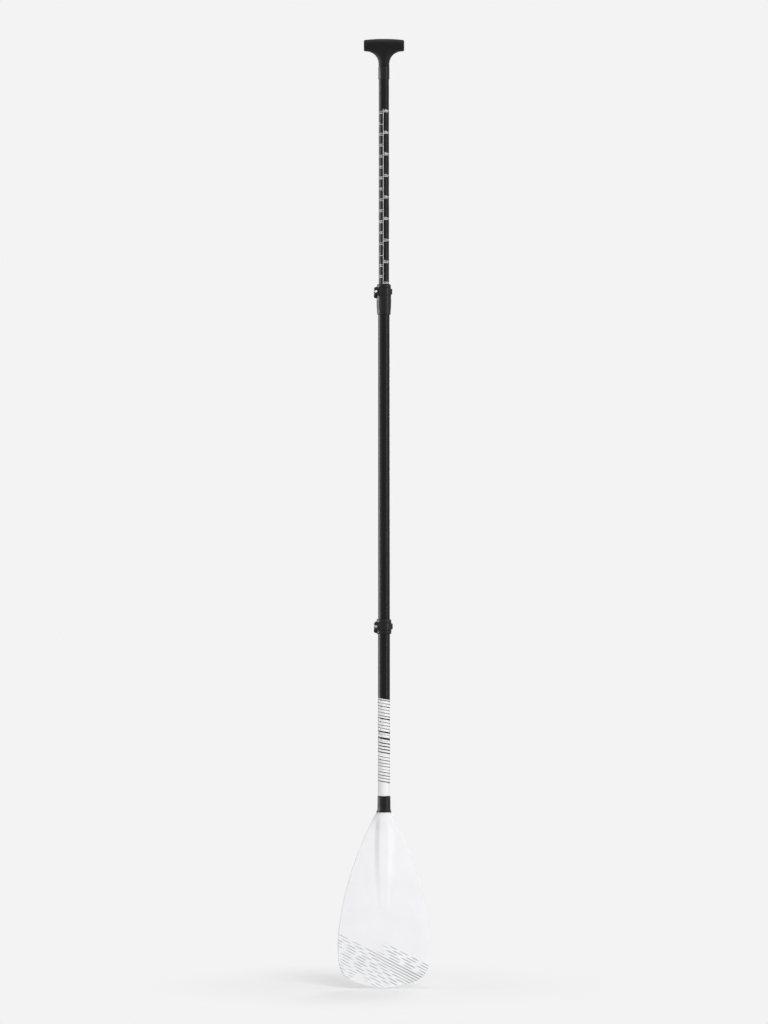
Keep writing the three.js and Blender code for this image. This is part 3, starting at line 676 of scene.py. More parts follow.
@dataclass(frozen=True)
class StripedTubeFinish(Finish):
    """The blade tube's print: black above, white with winding black stripes below. Millimetres."""

    cloud_size: float = 0.04
    black: Colour = (0.01, 0.01, 0.01)
    top: float = -420.3
    white_from: float = 182.4
    wind: float = 14.5
    width_reach: float = 10.0
    swell: tuple[float, float] = (0.85, 1.15)
    stripes: tuple[tuple[float, float], ...] = (
        (185.5, 1.8), (192.9, 1.4), (200.0, 1.8), (207.3, 1.3), (214.7, 1.5), (222.1, 1.7), (228.4, 3.0),
        (236.5, 1.4), (243.9, 1.5), (251.0, 1.4), (259.1, 3.5), (265.3, 0.8), (273.9, 4.4), (279.3, 0.6),
        (285.0, 2.5), (292.2, 2.5), (299.5, 2.3), (306.7, 2.6), (317.2, 1.3), (324.6, 1.6), (331.6, 1.5),
        (338.7, 1.5), (346.1, 0.8), (352.6, 1.6), (360.1, 1.8), (366.9, 1.6), (374.2, 2.1),
    )

    def stripe_table(self, sheet: Sheet, wound: Value) -> tuple[Value, Value]:
        """Look up the nearest stripe.

        Args:
            sheet: The sheet of the material.
            wound: The place down the tube, wound back by the turn round it.

        Returns:
            The stripe's middle and its half width.
        """
        low = self.white_from
        high = self.stripes[-1][0] + self.wind
        table = sheet.add("ShaderNodeValToRGB")
        table.color_ramp.interpolation = "CONSTANT"
        middles = [middle for middle, _ in self.stripes]
        starts = [low] + [(a + b) / 2 for a, b in zip(middles, middles[1:])]
        steps = table.color_ramp.elements
        while len(steps) < len(self.stripes):
            steps.new(1.0)
        for step, start, (middle, width) in zip(steps, starts, self.stripes):
            step.position = (start - low) / (high - low)
            step.color = ((middle - low) / (high - low), width / self.width_reach, 0.0, 1.0)
        sheet.put(table.inputs[0], sheet.spread(wound, low, high))
        parts = sheet.add("ShaderNodeSeparateColor")
        sheet.put(parts.inputs[0], table.outputs[0])
        return (sheet.calc("MULTIPLY_ADD", parts.outputs[0], high - low, low),
                sheet.calc("MULTIPLY", parts.outputs[1], self.width_reach / 2))

    def ground(self, sheet: Sheet, effects: Effects) -> bpy.types.NodeSocket:
        """Return black, white and stripes by height and by the turn round the tube from its -X side.

        Args:
            sheet: The sheet of the material.
            effects: The shared effects.

        Returns:
            The socket with the colour.
        """
        axes = sheet.add("ShaderNodeSeparateXYZ")
        sheet.put(axes.inputs[0], sheet.place())
        away = [sheet.calc("MULTIPLY", axes.outputs[i], -1.0) for i in (1, 0)]
        turn = sheet.calc("FLOORED_MODULO", sheet.calc("ARCTAN2", *away), 2 * math.pi)
        down = sheet.calc("MULTIPLY", sheet.calc("SUBTRACT", self.top * MM, axes.outputs[2]), 1 / MM)
        wound = sheet.calc("SUBTRACT", down, sheet.calc("MULTIPLY", turn, self.wind / (2 * math.pi)))
        middle, half = self.stripe_table(sheet, wound)
        half = sheet.calc("MULTIPLY", half, sheet.spread(turn, 0.0, math.pi, *self.swell))
        off = sheet.calc("ABSOLUTE", sheet.calc("SUBTRACT", wound, middle))
        stripe = sheet.calc("LESS_THAN", off, half)
        dark = sheet.calc("MAXIMUM", stripe, sheet.calc("LESS_THAN", wound, self.white_from))
        return sheet.blend(dark, self.clouded(sheet, effects), self.black)


@dataclass(frozen=True)
class DashedBladeFinish(Finish):
    """The blade's white, with rows of grey dashes towards the tip. Millimetres and degrees.

    The rows fall to the right on both faces. Some dashes swell, and the first rows hold a wedge of heavy
    lines.
    """

    cloud_size: float = 0.05
    cloud_contrast: float = 0.4
    grey: Colour = (0.4, 0.4, 0.42)
    mouth: float = -869.5
    slope: float = 27.0
    pitch: float = 6.0
    front_start: tuple[float, float] = (103.0, 294.0)
    back_start: tuple[float, float] = (71.0, 255.0)
    dash_lengths: tuple[float, float] = (27.0, 41.0)
    gap_shares: tuple[float, float] = (0.15, 0.3)
    dash_widths: tuple[float, float] = (0.95, 1.6)
    stagger: float = 12.5
    drift: float = 9.0
    taper: float = 7.0
    taper_power: float = 0.6
    swell: float = 0.7
    swell_along: tuple[float, float] = (-60.0, 120.0)
    swell_over: tuple[float, float] = (70.0, 40.0)
    side_rows: float = 5.0
    side_starts: tuple[float, float] = (12.0, 34.0)
    side_run: float = 34.0
    corner_rows: float = 2.0
    corner_along: tuple[float, float] = (-122.0, -140.0)
    thin_from: float = 50.0
    thin_clouds: float = 0.017
    thin_edge: tuple[float, float] = (0.3, 0.42)
    heavy_rows: float = 9.0
    heavy_step: float = 22.0
    heavy_widths: tuple[float, float] = (1.4, 3.6)
    heavy_run: float = 190.0
    soft_edge: float = 0.12

    def axes(self, sheet: Sheet) -> tuple[Value, Value]:
        """Turn the place on the blade into the dashes' own axes.

        Args:
            sheet: The sheet of the material.

        Returns:
            The place along and across the dashes, from where the pattern starts on each face.
        """
        place = sheet.add("ShaderNodeSeparateXYZ")
        sheet.put(place.inputs[0], sheet.place())
        looks = sheet.add("ShaderNodeSeparateXYZ")
        sheet.put(looks.inputs[0], sheet.add("ShaderNodeTexCoord").outputs["Normal"])
        back = sheet.calc("GREATER_THAN", looks.outputs[1], 0.0)
        across = sheet.calc("MULTIPLY", place.outputs[0],
                            sheet.calc("MULTIPLY_ADD", back, -2.0 / MM, 1.0 / MM))
        down = sheet.calc("MULTIPLY_ADD", place.outputs[2], -1 / MM, self.mouth)
        lean = math.radians(self.slope)
        shares = ((math.cos(lean), math.sin(lean)), (-math.sin(lean), math.cos(lean)))
        turned = [
            sheet.calc("MULTIPLY_ADD", across, of_across, sheet.calc("MULTIPLY", down, of_down))
            for of_across, of_down in shares
        ]
        along, over = (
            sheet.calc("SUBTRACT", value, sheet.calc("MULTIPLY_ADD", back, there - here, here))
            for value, here, there in zip(turned, self.front_start, self.back_start)
        )
        return along, over

    def tapered(self, sheet: Sheet, inside: Value) -> bpy.types.NodeSocket:
        """Return how full a line is at a distance from its end."""
        return sheet.calc("POWER", sheet.spread(inside, 0.0, self.taper), self.taper_power)

    def dash_width(self, sheet: Sheet, along: Value, over: Value, row: Value,
                   row_luck: Sequence[Value]) -> bpy.types.NodeSocket:
        """Lay dashes and gaps along the rows.

        Args:
            sheet: The sheet of the material.
            along: The place along the dashes.
            over: The place across them.
            row: The row's number.
            row_luck: The row's random numbers.

        Returns:
            The width of the dash there.
        """
        length = sheet.spread(row_luck[0], 0.0, 1.0, *self.dash_lengths)
        drift = sheet.calc("MULTIPLY", row_luck[1], self.drift)
        drift = sheet.calc("MULTIPLY_ADD", row, -self.stagger, drift)
        cells = sheet.calc("DIVIDE", sheet.calc("ADD", along, drift), length)
        cell = sheet.calc("FLOOR", cells)
        share = sheet.calc("SUBTRACT", cells, cell)
        cell_luck = sheet.luck(row, cell)
        gap = sheet.spread(cell_luck[0], 0.0, 1.0, *self.gap_shares)
        nearest = sheet.calc("MINIMUM", share, sheet.calc("SUBTRACT", 1.0, share))
        inside = sheet.calc("MULTIPLY", sheet.calc("MULTIPLY_ADD", gap, -0.5, nearest), length)
        width = sheet.spread(cell_luck[1], 0.0, 1.0, *self.dash_widths)
        swelling = sheet.calc("MULTIPLY", sheet.spread(along, *self.swell_along),
                              sheet.spread(over, *self.swell_over))
        swollen = sheet.calc("MULTIPLY_ADD", swelling, self.swell, width)
        return sheet.calc("MULTIPLY", self.tapered(sheet, inside), swollen)

    def shown(self, sheet: Sheet, along: Value, over: Value, row: Value, main: Value,
              row_luck: Sequence[Value]) -> bpy.types.NodeSocket:
        """Thin the pattern out in its upper corners and towards the tip.

        Args:
            sheet: The sheet of the material.
            along: The place along the dashes.
            over: The place across them.
            row: The row's number.
            main: Whether it is a row of the main pattern.
            row_luck: The row's random numbers.

        Returns:
            The share of the dashes' width that is left.
        """
        low, high = self.side_starts
        side_start = sheet.calc("MULTIPLY_ADD", row_luck[2], high - low, low)
        side = sheet.calc("MULTIPLY", sheet.calc("GREATER_THAN", row, -self.side_rows - 0.5),
                          sheet.spread(sheet.calc("SUBTRACT", along, side_start), 0.0, self.side_run))
        corner = sheet.calc("MULTIPLY", sheet.calc("GREATER_THAN", row, -self.corner_rows - 0.5),
                            sheet.spread(along, *self.corner_along))
        present = sheet.calc("MAXIMUM", main, sheet.calc("MAXIMUM", side, corner))
        patch = sheet.add("ShaderNodeCombineXYZ")
        for socket, value in zip(patch.inputs, (along, over)):
            sheet.put(socket, value)
        clouds = sheet.noise(patch.outputs[0], self.thin_clouds, 0.0, 0.5, "2D")
        kept = sheet.calc("MAXIMUM", sheet.spread(clouds, *self.thin_edge),
                          sheet.calc("LESS_THAN", over, self.thin_from))
        return sheet.calc("MULTIPLY", present, kept)

    def heavy_width(self, sheet: Sheet, along: Value, row: Value, main: Value) -> bpy.types.NodeSocket:
        """Draw the wedge of heavy lines.

        Args:
            sheet: The sheet of the material.
            along: The place along the dashes.
            row: The row's number.
            main: Whether it is a row of the main pattern.

        Returns:
            The width of the heavy line there.
        """
        run = sheet.calc("SUBTRACT", along, sheet.calc("MULTIPLY", row, self.heavy_step))
        heavy = sheet.calc("MULTIPLY", sheet.spread(run, 0.0, self.heavy_run, *self.heavy_widths),
                           self.tapered(sheet, run))
        wedge = sheet.calc("MULTIPLY", main, sheet.calc("LESS_THAN", row, self.heavy_rows - 0.5))
        return sheet.calc("MULTIPLY", heavy, wedge)

    def ground(self, sheet: Sheet, effects: Effects) -> bpy.types.NodeSocket:
        """Return the white with its rows of dashes.

        Args:
            sheet: The sheet of the material.
            effects: The shared effects.

        Returns:
            The socket with the colour.
        """
        along, over = self.axes(sheet)
        rows = sheet.calc("DIVIDE", over, self.pitch)
        row = sheet.calc("FLOOR", rows)
        off = sheet.calc("ABSOLUTE", sheet.calc("MULTIPLY_ADD", sheet.calc("SUBTRACT", rows, row),
                                                self.pitch, -self.pitch / 2))
        row_luck = sheet.luck(row, 0.0)
        main = sheet.calc("GREATER_THAN", row, -0.5)
        width = sheet.calc("MULTIPLY", self.dash_width(sheet, along, over, row, row_luck),
                           self.shown(sheet, along, over, row, main, row_luck))
        width = sheet.calc("MAXIMUM", width, self.heavy_width(sheet, along, row, main))
        inside = sheet.calc("MULTIPLY_ADD", width, 0.5, sheet.calc("MULTIPLY", off, -1.0))
        mark = sheet.spread(inside, 0.0, self.soft_edge)
        return sheet.blend(mark, self.clouded(sheet, effects), self.grey)


@dataclass(frozen=True)
class Finishes:
    """Every finish on the paddle."""

    tube_black: Finish = Finish(
        "satin_black_tube", shade(13, 13, 15), shade(17, 17, 19), 0.34, 0.07, gloss=0.12, coat=0.03,
        grain_size=0.0005, grain_depth=0.000006, scuff=0.14, scuff_size=0.00035, rub=0.3,
        rubbed=shade(84, 84, 87),
    )
    grip_black: Finish = Finish(
        "grip_black", shade(14, 14, 15), shade(19, 18, 19), 0.54, 0.1, gloss=0.15, grain_size=0.0009,
        grain_depth=0.00005, scuff=0.06, rub=0.1, edge_radius=0.0006, rubbed=shade(66, 66, 68),
    )
    moulded_black: Finish = Finish(
        "moulded_black", shade(14, 14, 15), shade(19, 19, 20), 0.38, 0.1, gloss=0.2, grain_size=0.0007,
        grain_depth=0.00003, scuff=0.1, rub=0.2, rubbed=shade(78, 78, 80),
    )
    insert_brown: Finish = Finish(
        "insert_brown", shade(36, 32, 30), shade(43, 38, 36), 0.5, 0.12, gloss=0.2, grain_size=0.0008,
        grain_depth=0.00003, scuff=0.25, rubbed=shade(88, 80, 76),
    )
    nickel: Finish = BrushedMetal(
        "nickel", shade(205, 202, 194), shade(172, 169, 161), 0.27, 0.1, metallic=1.0, grain_size=0.0004,
        grain_depth=0.000006, scuff=0.2, scuff_size=0.0004, rub=0.1, edge_radius=0.0002,
        rubbed=shade(150, 147, 140),
    )
    spring_steel: Finish = BrushedMetal(
        "spring_steel", shade(176, 177, 180), shade(140, 142, 146), 0.32, 0.1, metallic=1.0,
        grain_size=0.0004, grain_depth=0.000006, scuff=0.3, scuff_size=0.0005, rub=0.1,
        edge_radius=0.0001, rubbed=shade(120, 120, 122),
    )
    tube_white: Finish = StripedTubeFinish(
        "striped_tube", shade(236, 236, 236), shade(229, 230, 231), 0.34, 0.06, gloss=0.13, coat=0.03,
        grain_size=0.0005, grain_depth=0.000006, scuff=0.04, scuff_size=0.00035, rub=0.1,
        rubbed=shade(170, 170, 170), black=shade(13, 13, 15),
    )
    foam_grey: Finish = FoamFinish(
        "foam_grey", shade(82, 82, 84), shade(58, 58, 60), 0.9, 0.05, gloss=0.2, grain_size=0.0009,
        grain_depth=0.0001, scuff=0.0, rub=0.0, rubbed=shade(70, 70, 70),
    )
    blade_white: Finish = DashedBladeFinish(
        "dashed_blade", shade(240, 240, 241), shade(234, 234, 237), 0.38, 0.06, gloss=0.08, coat=0.0,
        grain_size=0.0012, grain_depth=0.000012, scuff=0.1, scuff_size=0.0005, rub=0.12,
        rubbed=shade(205, 205, 206), grey=shade(163, 165, 170),
    )
    print_white: Finish = Finish(
        "print_white", shade(232, 233, 234), shade(214, 215, 217), 0.42, 0.08, gloss=0.4,
        grain_size=0.0003, grain_depth=0.000004, scuff=0.5, scuff_size=0.0005, rub=0.0,
        edge_radius=0.00002, rubbed=shade(150, 150, 152),
    )


class Dresser:
    """Gives nodes and pieces their finish, and shades the solids smooth."""

    shading_weight = 80

    def __init__(self, finishes: Finishes, effects: Effects) -> None:
        """Make each finish once."""
        self.effects = effects
        self.made = {key: getattr(finishes, key).build(effects) for key in finishes.__dataclass_fields__}

    def paint(self, piece: bpy.types.Object, finish: str) -> None:
        """Give a piece or node one of the finishes, by its name."""
        piece.data.materials.clear()
        piece.data.materials.append(self.made[finish])

    def dress_node(self, node: str, finish: str) -> None:
        """Keep a CAD node, weld and smooth its facets and give it a finish.

        Args:
            node: The node's name.
            finish: The name of the finish.
        """
        piece = frame["nodes"][node]
        spare = piece.data.attributes.get("custom_normal")
        if spare is not None:
            piece.data.attributes.remove(spare)
        weld = piece.modifiers.new("weld_and_smooth", "NODES")
        weld.node_group = self.effects.smoothing
        weights = piece.modifiers.new("even_shading", "WEIGHTED_NORMAL")
        weights.keep_sharp = True
        weights.weight = self.shading_weight
        self.paint(piece, finish)
        LOG.info("dressed %s in %s", node, finish)

    def add_piece(self, name: str, points: Sequence[Corner], faces: Sequence[Sequence[int]], body: str,
                  finish: str, slot: str | None = None) -> bpy.types.Object:
        """Make a new piece, in metres.

        Args:
            name: The piece's name.
            points: Its points.
            faces: Its faces, as numbers of points.
            body: The CAD body that it rides on.
            finish: The name of its finish.
            slot: The record's material slot, if it has one. It is not used.

        Returns:
            The new object.
        """
        mesh = bpy.data.meshes.new(name)
        mesh.from_pydata(points, [], faces)
        mesh.polygons.foreach_set("use_smooth", [True] * len(mesh.polygons))
        return self.fit(into_scene(name, mesh), body, finish)

    def fit(self, piece: bpy.types.Object, body: str, finish: str) -> bpy.types.Object:
        """Finish a piece that is in its place and let it ride on its body.

        Args:
            piece: The piece.
            body: The CAD body that it rides on.
            finish: The name of its finish.

        Returns:
            The same piece.
        """
        self.paint(piece, finish)
        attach(piece, body)
        LOG.info("made %s with %d faces", piece.name, len(piece.data.polygons))
        return piece

    @staticmethod
    def loose(name: str, points: Sequence[Corner], faces: Sequence[Sequence[int]]) -> bpy.types.Object:
        """Make a plain object that later work is done on.

        Args:
            name: Its name.
            points: Its points, in metres.
            faces: Its faces, as numbers of points.

        Returns:
            The object, in the scene.
        """
        mesh = bpy.data.meshes.new(name)
        mesh.from_pydata(points, [], faces)
        shell = bmesh.new()
        shell.from_mesh(mesh)
        bmesh.ops.recalc_face_normals(shell, faces=shell.faces)
        shell.to_mesh(mesh)
        shell.free()
        return into_scene(name, mesh)

    @staticmethod
    def worked(source: bpy.types.Object, name: str) -> bpy.types.Object:
        """Make a new object with a source's shape after its modifiers, and use the source up.

        Args:
            source: The object with the modifiers.
            name: The new object's name.

        Returns:
            The new object.
        """
        bpy.context.view_layer.update()
        mesh = bpy.data.meshes.new_from_object(source.evaluated_get(bpy.context.evaluated_depsgraph_get()))
        mesh.transform(source.matrix_world)
        mesh.name = name
        mesh.polygons.foreach_set("use_smooth", [True] * len(mesh.polygons))
        bpy.data.objects.remove(source)
        return into_scene(name, mesh)

    def melt(self, name: str, source: bpy.types.Object, voxel: float, passes: int,
             facets: Sequence["Facets"] = (), bore: bpy.types.Object | None = None) -> bpy.types.Object:
        """Melt a solid's facets and inner corners together, as in a moulding.

        Args:
            name: The new piece's name.
            source: The solid, or several in one mesh that overlap.
            voxel: The size of the smallest detail that stays, in millimetres.
            passes: How often the skin is smoothed.
            facets: The round forms whose facets are trued up.
            bore: What is cut out of it afterwards, if anything.

        Returns:
            The new piece.
        """
        work = source.copy()
        work.data = source.data.copy()
        work.modifiers.clear()
        bpy.context.scene.collection.objects.link(work)
        remesh = work.modifiers.new("melt", "REMESH")
        remesh.mode = "VOXEL"
        remesh.voxel_size = voxel * MM
        work = self.worked(work, name)
        for form in facets:
            form.true_up(work.data)
        smooth = work.modifiers.new("smooth", "SMOOTH")
        smooth.factor = 0.5
        smooth.iterations = passes
        if bore:
            cut = work.modifiers.new("bore", "BOOLEAN")
            cut.operation = "DIFFERENCE"
            cut.solver = "EXACT"
            cut.object = bore
        return self.worked(work, name)


@dataclass(frozen=True)
class Facets:
    """The flat facets round the shaft's axis that stand for a round form. Degrees and millimetres."""

    step: float
    start: float
    inner: float
    outer: float
    facing_from: float = 0.75
    facing_run: float = 0.2

    def true_up(self, mesh: bpy.types.Mesh) -> None:
        """Move the points of the round form out from their facets to its true radius.

        Args:
            mesh: The mesh, in metres.
        """
        half = math.radians(self.step) / 2
        places = [0.0] * (3 * len(mesh.vertices))
        normals = list(places)
        mesh.vertices.foreach_get("co", places)
        mesh.vertices.foreach_get("normal", normals)
        for i in range(0, len(places), 3):
            x, y = places[i], places[i + 1]
            radius = math.hypot(x, y)
            if not self.inner * MM < radius < self.outer * MM:
                continue
            facing = abs(normals[i] * x + normals[i + 1] * y) / radius
            turn = math.atan2(y, x) - math.radians(self.start)
            growth = math.cos(turn % (2 * half) - half) / math.cos(half)
            factor = 1 + (growth - 1) * ease((facing - self.facing_from) / self.facing_run)
            places[i], places[i + 1] = x * factor, y * factor
        mesh.vertices.foreach_set("co", places)
        mesh.update()


@dataclass
class HeightScale:
    """The white scale printed on the handle tube: a line, ticks, plain numbers, a stop mark. Millimetres."""

    tube_radius: float = 12.2
    proud: float = 0.05
    first_mark: float = 757.1
    first_height: float = 1800.0
    metric_step: float = 50.0
    metric_marks: int = 9
    inch: float = 25.4
    first_inches: int = 71
    last_inches: int = 86
    line_place: float = -1.8
    line_width: float = 1.0
    line_above: float = 6.5
    tick_width: float = 0.9
    metric_reach: float = 10.0
    inch_reach: float = -13.4
    bar_facet: float = 1.2
    number_height: float = 4.0
    number_lift: float = 1.5
    metric_gap: float = 1.9
    inch_gap: float = 1.3
    stop_drop: float = 406.2
    stop_reach: tuple[float, float] = (-16.0, 8.8)
    stop_height: float = 6.4
    stop_lift: float = -9.0
    capital_share: float = 0.69
    bold_share: float = 0.012
    letter_steps: int = 3
    letter_cut: float = 1.0

    def metric_heights(self) -> list[float]:
        """Return the heights of the metric marks, from the top down."""
        return [self.first_mark - self.metric_step * mark for mark in range(self.metric_marks)]

    def inch_heights(self) -> dict[int, float]:
        """Return the heights of the inch marks by their number of inches, from the top down."""
        return {inches: self.first_mark + self.first_height - self.inch * inches
                for inches in range(self.first_inches, self.last_inches + 1)}

    def wrap(self, across: float, up: float) -> Corner:
        """Lay a point of the flat print on the tube.

        Args:
            across: Millimetres to the right of the tube's front line.
            up: Height in millimetres.

        Returns:
            The point in metres.
        """
        radius = self.tube_radius + self.proud
        turn = across / self.tube_radius
        return radius * math.sin(turn) * MM, -radius * math.cos(turn) * MM, up * MM

    def bar(self, left: float, right: float, bottom: float, top: float,
            points: list[Corner], faces: list[tuple[int, ...]]) -> None:
        """Add a printed bar to a mesh.

        Args:
            left: Its left end across the print.
            right: Its right end.
            bottom: Its lower edge.
            top: Its upper edge.
            points: The mesh's points so far.
            faces: The mesh's faces so far.
        """
        steps = max(1, math.ceil((right - left) / self.bar_facet))
        first = len(points)
        for i in range(steps + 1):
            across = left + (right - left) * i / steps
            points += [self.wrap(across, bottom), self.wrap(across, top)]
        faces += [(first + 2 * i, first + 2 * i + 2, first + 2 * i + 3, first + 2 * i + 1)
                  for i in range(steps)]

    def lines(self) -> tuple[list[Corner], list[tuple[int, ...]]]:
        """Print the line and its ticks.

        Returns:
            The points and faces.
        """
        points: list[Corner] = []
        faces: list[tuple[int, ...]] = []
        half = self.line_width / 2
        metric = self.metric_heights()
        self.bar(self.line_place - half, self.line_place + half, metric[-1],
                 self.first_mark + self.line_above, points, faces)
        ticks = [(self.line_place, self.metric_reach, up) for up in metric]
        ticks += [(self.inch_reach, self.line_place, up) for up in self.inch_heights().values()]
        ticks.append((*self.stop_reach, self.first_mark - self.stop_drop))
        thin = self.tick_width / 2
        for left, right, up in ticks:
            self.bar(left, right, up - thin, up + thin, points, faces)
        return points, faces

    def flat_word(self, word: str, height: float, place: float, hold: WordHold,
                  bottom: float) -> bmesh.types.BMesh:
        """Make a flat word with capitals of a given height.

        Args:
            word: What is printed.
            height: The height of its capitals.
            place: Where it stands across the print.
            hold: Which place of the word stands there.
            bottom: The line that it stands on.

        Returns:
            The word's mesh in millimetres, in the XY plane.
        """
        curve = bpy.data.curves.new("word", "FONT")
        curve.body = word
        curve.size = 1.0
        curve.offset = self.bold_share
        curve.resolution_u = self.letter_steps
        holder = into_scene("word", curve)
        bpy.context.view_layer.update()
        mesh = bpy.data.meshes.new_from_object(holder.evaluated_get(bpy.context.evaluated_depsgraph_get()))
        bpy.data.objects.remove(holder)
        bpy.data.curves.remove(curve)
        word_mesh = bmesh.new()
        word_mesh.from_mesh(mesh)
        bpy.data.meshes.remove(mesh)
        across = [vert.co.x for vert in word_mesh.verts]
        first = min(across)
        factor = height / self.capital_share
        width = (max(across) - first) * factor
        start = place - width * hold.value
        for vert in word_mesh.verts:
            vert.co = Vector(((vert.co.x - first) * factor + start, vert.co.y * factor + bottom, 0.0))
        cut = math.ceil(start)
        while cut < start + width:
            bmesh.ops.bisect_plane(word_mesh, geom=[*word_mesh.verts, *word_mesh.edges, *word_mesh.faces],
                                   plane_co=(cut, 0, 0), plane_no=(1, 0, 0))
            cut += self.letter_cut
        return word_mesh

    def words(self) -> tuple[list[Corner], list[tuple[int, ...]]]:
        """Print the numbers and the stop word.

        Returns:
            The points and faces.
        """
        words = []
        for mark, up in enumerate(self.metric_heights()):
            centimetres = round((self.first_height + self.metric_step * mark) / 10)
            words.append((f"{centimetres}cm", self.number_height, self.line_place + self.metric_gap,
                          WordHold.LEFT, up + self.number_lift))
        for inches, up in self.inch_heights().items():
            feet, rest = divmod(inches, 12)
            word, place, hold = (
                (f"{feet}'{rest:02d}\"", self.line_place - self.inch_gap, WordHold.RIGHT) if rest
                else (f"{feet}'", self.inch_reach, WordHold.LEFT)
            )
            words.append((word, self.number_height, place, hold, up + self.number_lift))
        words.append(("STOP", self.stop_height, self.line_place, WordHold.MIDDLE,
                      self.first_mark - self.stop_drop + self.stop_lift))
        points: list[Corner] = []
        faces: list[tuple[int, ...]] = []
        for word in words:
            word_mesh = self.flat_word(*word)
            first = len(points)
            word_mesh.verts.index_update()
            points += [self.wrap(vert.co.x, vert.co.y) for vert in word_mesh.verts]
            faces += [tuple(first + vert.index for vert in face.verts) for face in word_mesh.faces]
            word_mesh.free()
        return points, faces


@dataclass
class GripSkin:
    """The T grip as one smooth moulding, its crown at the given top. Millimetres."""

    top: float = 927.6
    width: float = 94.0
    middle_height: float = 28.8
    end_height: float = 26.1
    middle_depth: float = 32.0
    end_depth: float = 28.0
    edge_round: float = 2.6
    wall: float = 3.4
    flare_height: float = 31.2
    flare_reach: float = 33.0
    flare_depth: float = 1.6
    neck_radius: float = 12.6
    neck_height: float = 4.3
    spigot_radius: float = 10.6
    spigot_length: float = 34.0
    bar_power: float = 2.3
    flare_power: float = 2.2
    collar_step: float = 0.01
    sides: int = 96
    round_steps: int = 8
    half_steps: int = 12
    flare_steps: int = 40
    voxel: float = 0.9
    passes: int = 10

    def oval(self, half_width: float, half_depth: float, power: float = 2.0) -> list[tuple[float, float]]:
        """Return the points of an ellipse, or of a squarer oval where the power is above 2.

        Args:
            half_width: Half its first size.
            half_depth: Half its second size.
            power: How square it is.

        Returns:
            The points.
        """
        points = []
        for i in range(self.sides):
            turn = 2 * math.pi * i / self.sides
            out, over = (math.copysign(abs(part) ** (2 / power), part)
                         for part in (math.cos(turn), math.sin(turn)))
            points.append((half_width * out, half_depth * over))
        return points

    def bar(self) -> list[list[Corner]]:
        """Draw the crowned bar.

        Returns:
            Its rings, in millimetres from the crown.
        """
        end = self.width / 2
        inner = end - self.edge_round
        quarter = [math.radians(90 * i / self.round_steps) for i in range(self.round_steps)]
        rounded = [(inner + self.edge_round * math.cos(t), self.edge_round * (1 - math.sin(t)))
                   for t in quarter]
        places = [(-x, inset) for x, inset in rounded]
        places += [(inner * (i / self.half_steps - 1), 0.0) for i in range(2 * self.half_steps + 1)]
        places += rounded[::-1]
        rings = []
        for x, inset in places:
            share = (x / end) ** 2
            top = (self.end_height - self.middle_height) * share
            half_height = (top + self.middle_height) / 2
            half_depth = (self.middle_depth + (self.end_depth - self.middle_depth) * share) / 2
            section = self.oval(half_depth - inset, half_height - inset, self.bar_power)
            rings.append([(x, y, top - half_height + z) for y, z in section])
        return rings

    def stem(self) -> list[list[Corner]]:
        """Draw the spigot, the neck and its flare up into the bar.

        Returns:
            Their rings, in millimetres from the crown.
        """
        neck = -self.middle_height - self.flare_height
        low = neck - self.neck_height
        sizes = [(low - self.spigot_length, self.spigot_radius, self.spigot_radius),
                 (low - self.collar_step, self.spigot_radius, self.spigot_radius),
                 (low, self.neck_radius, self.neck_radius)]
        for i in range(self.flare_steps + 1):
            rise = math.sin(math.pi / 2 * i / self.flare_steps)
            spread = 1 - (1 - rise**self.flare_power) ** (1 / self.flare_power)
            sizes.append((neck + self.flare_height * rise, self.neck_radius + self.flare_reach * spread,
                          self.neck_radius + self.flare_depth * ease(rise)))
        height, wide, deep = sizes[-1]
        sizes.append((height + self.end_height / 3, wide - self.wall, deep))
        return [[(x, y, up) for x, y in self.oval(wide, deep)] for up, wide, deep in sizes]

    def build(self, dresser: Dresser) -> None:
        """Make the grip in place of its solid.

        Args:
            dresser: What gives it its finish.
        """
        points: list[Corner] = []
        faces: list[Sequence[int]] = []
        for rings in (self.bar(), self.stem()):
            more, quads = loft(rings)
            faces += [[len(points) + i for i in quad] for quad in quads]
            points += more
        reach = self.width
        middle = self.end_height / 2 - self.middle_height
        section = self.oval(self.end_depth / 2 - self.wall, self.end_height / 2 - self.wall)
        bore_rings = [[(x, y, middle + z) for y, z in section] for x in (-reach, reach)]
        solids = []
        for name, (drawn, quads) in (("grip_source", (points, faces)), ("grip_bore", loft(bore_rings))):
            placed = [(x * MM, y * MM, (z + self.top) * MM) for x, y, z in drawn]
            solids.append(dresser.loose(name, placed, quads))
        skin = dresser.melt("t_grip_skin", solids[0], self.voxel, self.passes, bore=solids[1])
        for solid in solids:
            bpy.data.objects.remove(solid)
        dresser.fit(skin, "handle", "grip_black")
        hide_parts("t_grip")


@dataclass
class HandleSection:
    """The T grip, its sleeve, the slim tube with the printed scale and the plug in its end."""

    grip: GripSkin
    scale: HeightScale
    finishes: tuple[tuple[str, str], ...] = (
        ("grip_sleeve", "moulded_black"),
        ("handle_tube", "tube_black"),
        ("handle_end_plug", "moulded_black"),
    )

    def build(self, dresser: Dresser) -> None:
        """Make the grip, dress the nodes and print the scale.

        Args:
            dresser: What gives the pieces their finish.
        """
        self.grip.build(dresser)
        for node, finish in self.finishes:
            dresser.dress_node(node, finish)
        dresser.add_piece("height_scale_lines", *self.scale.lines(), "handle", "print_white")
        dresser.add_piece("height_scale_numbers", *self.scale.words(), "handle", "print_white")


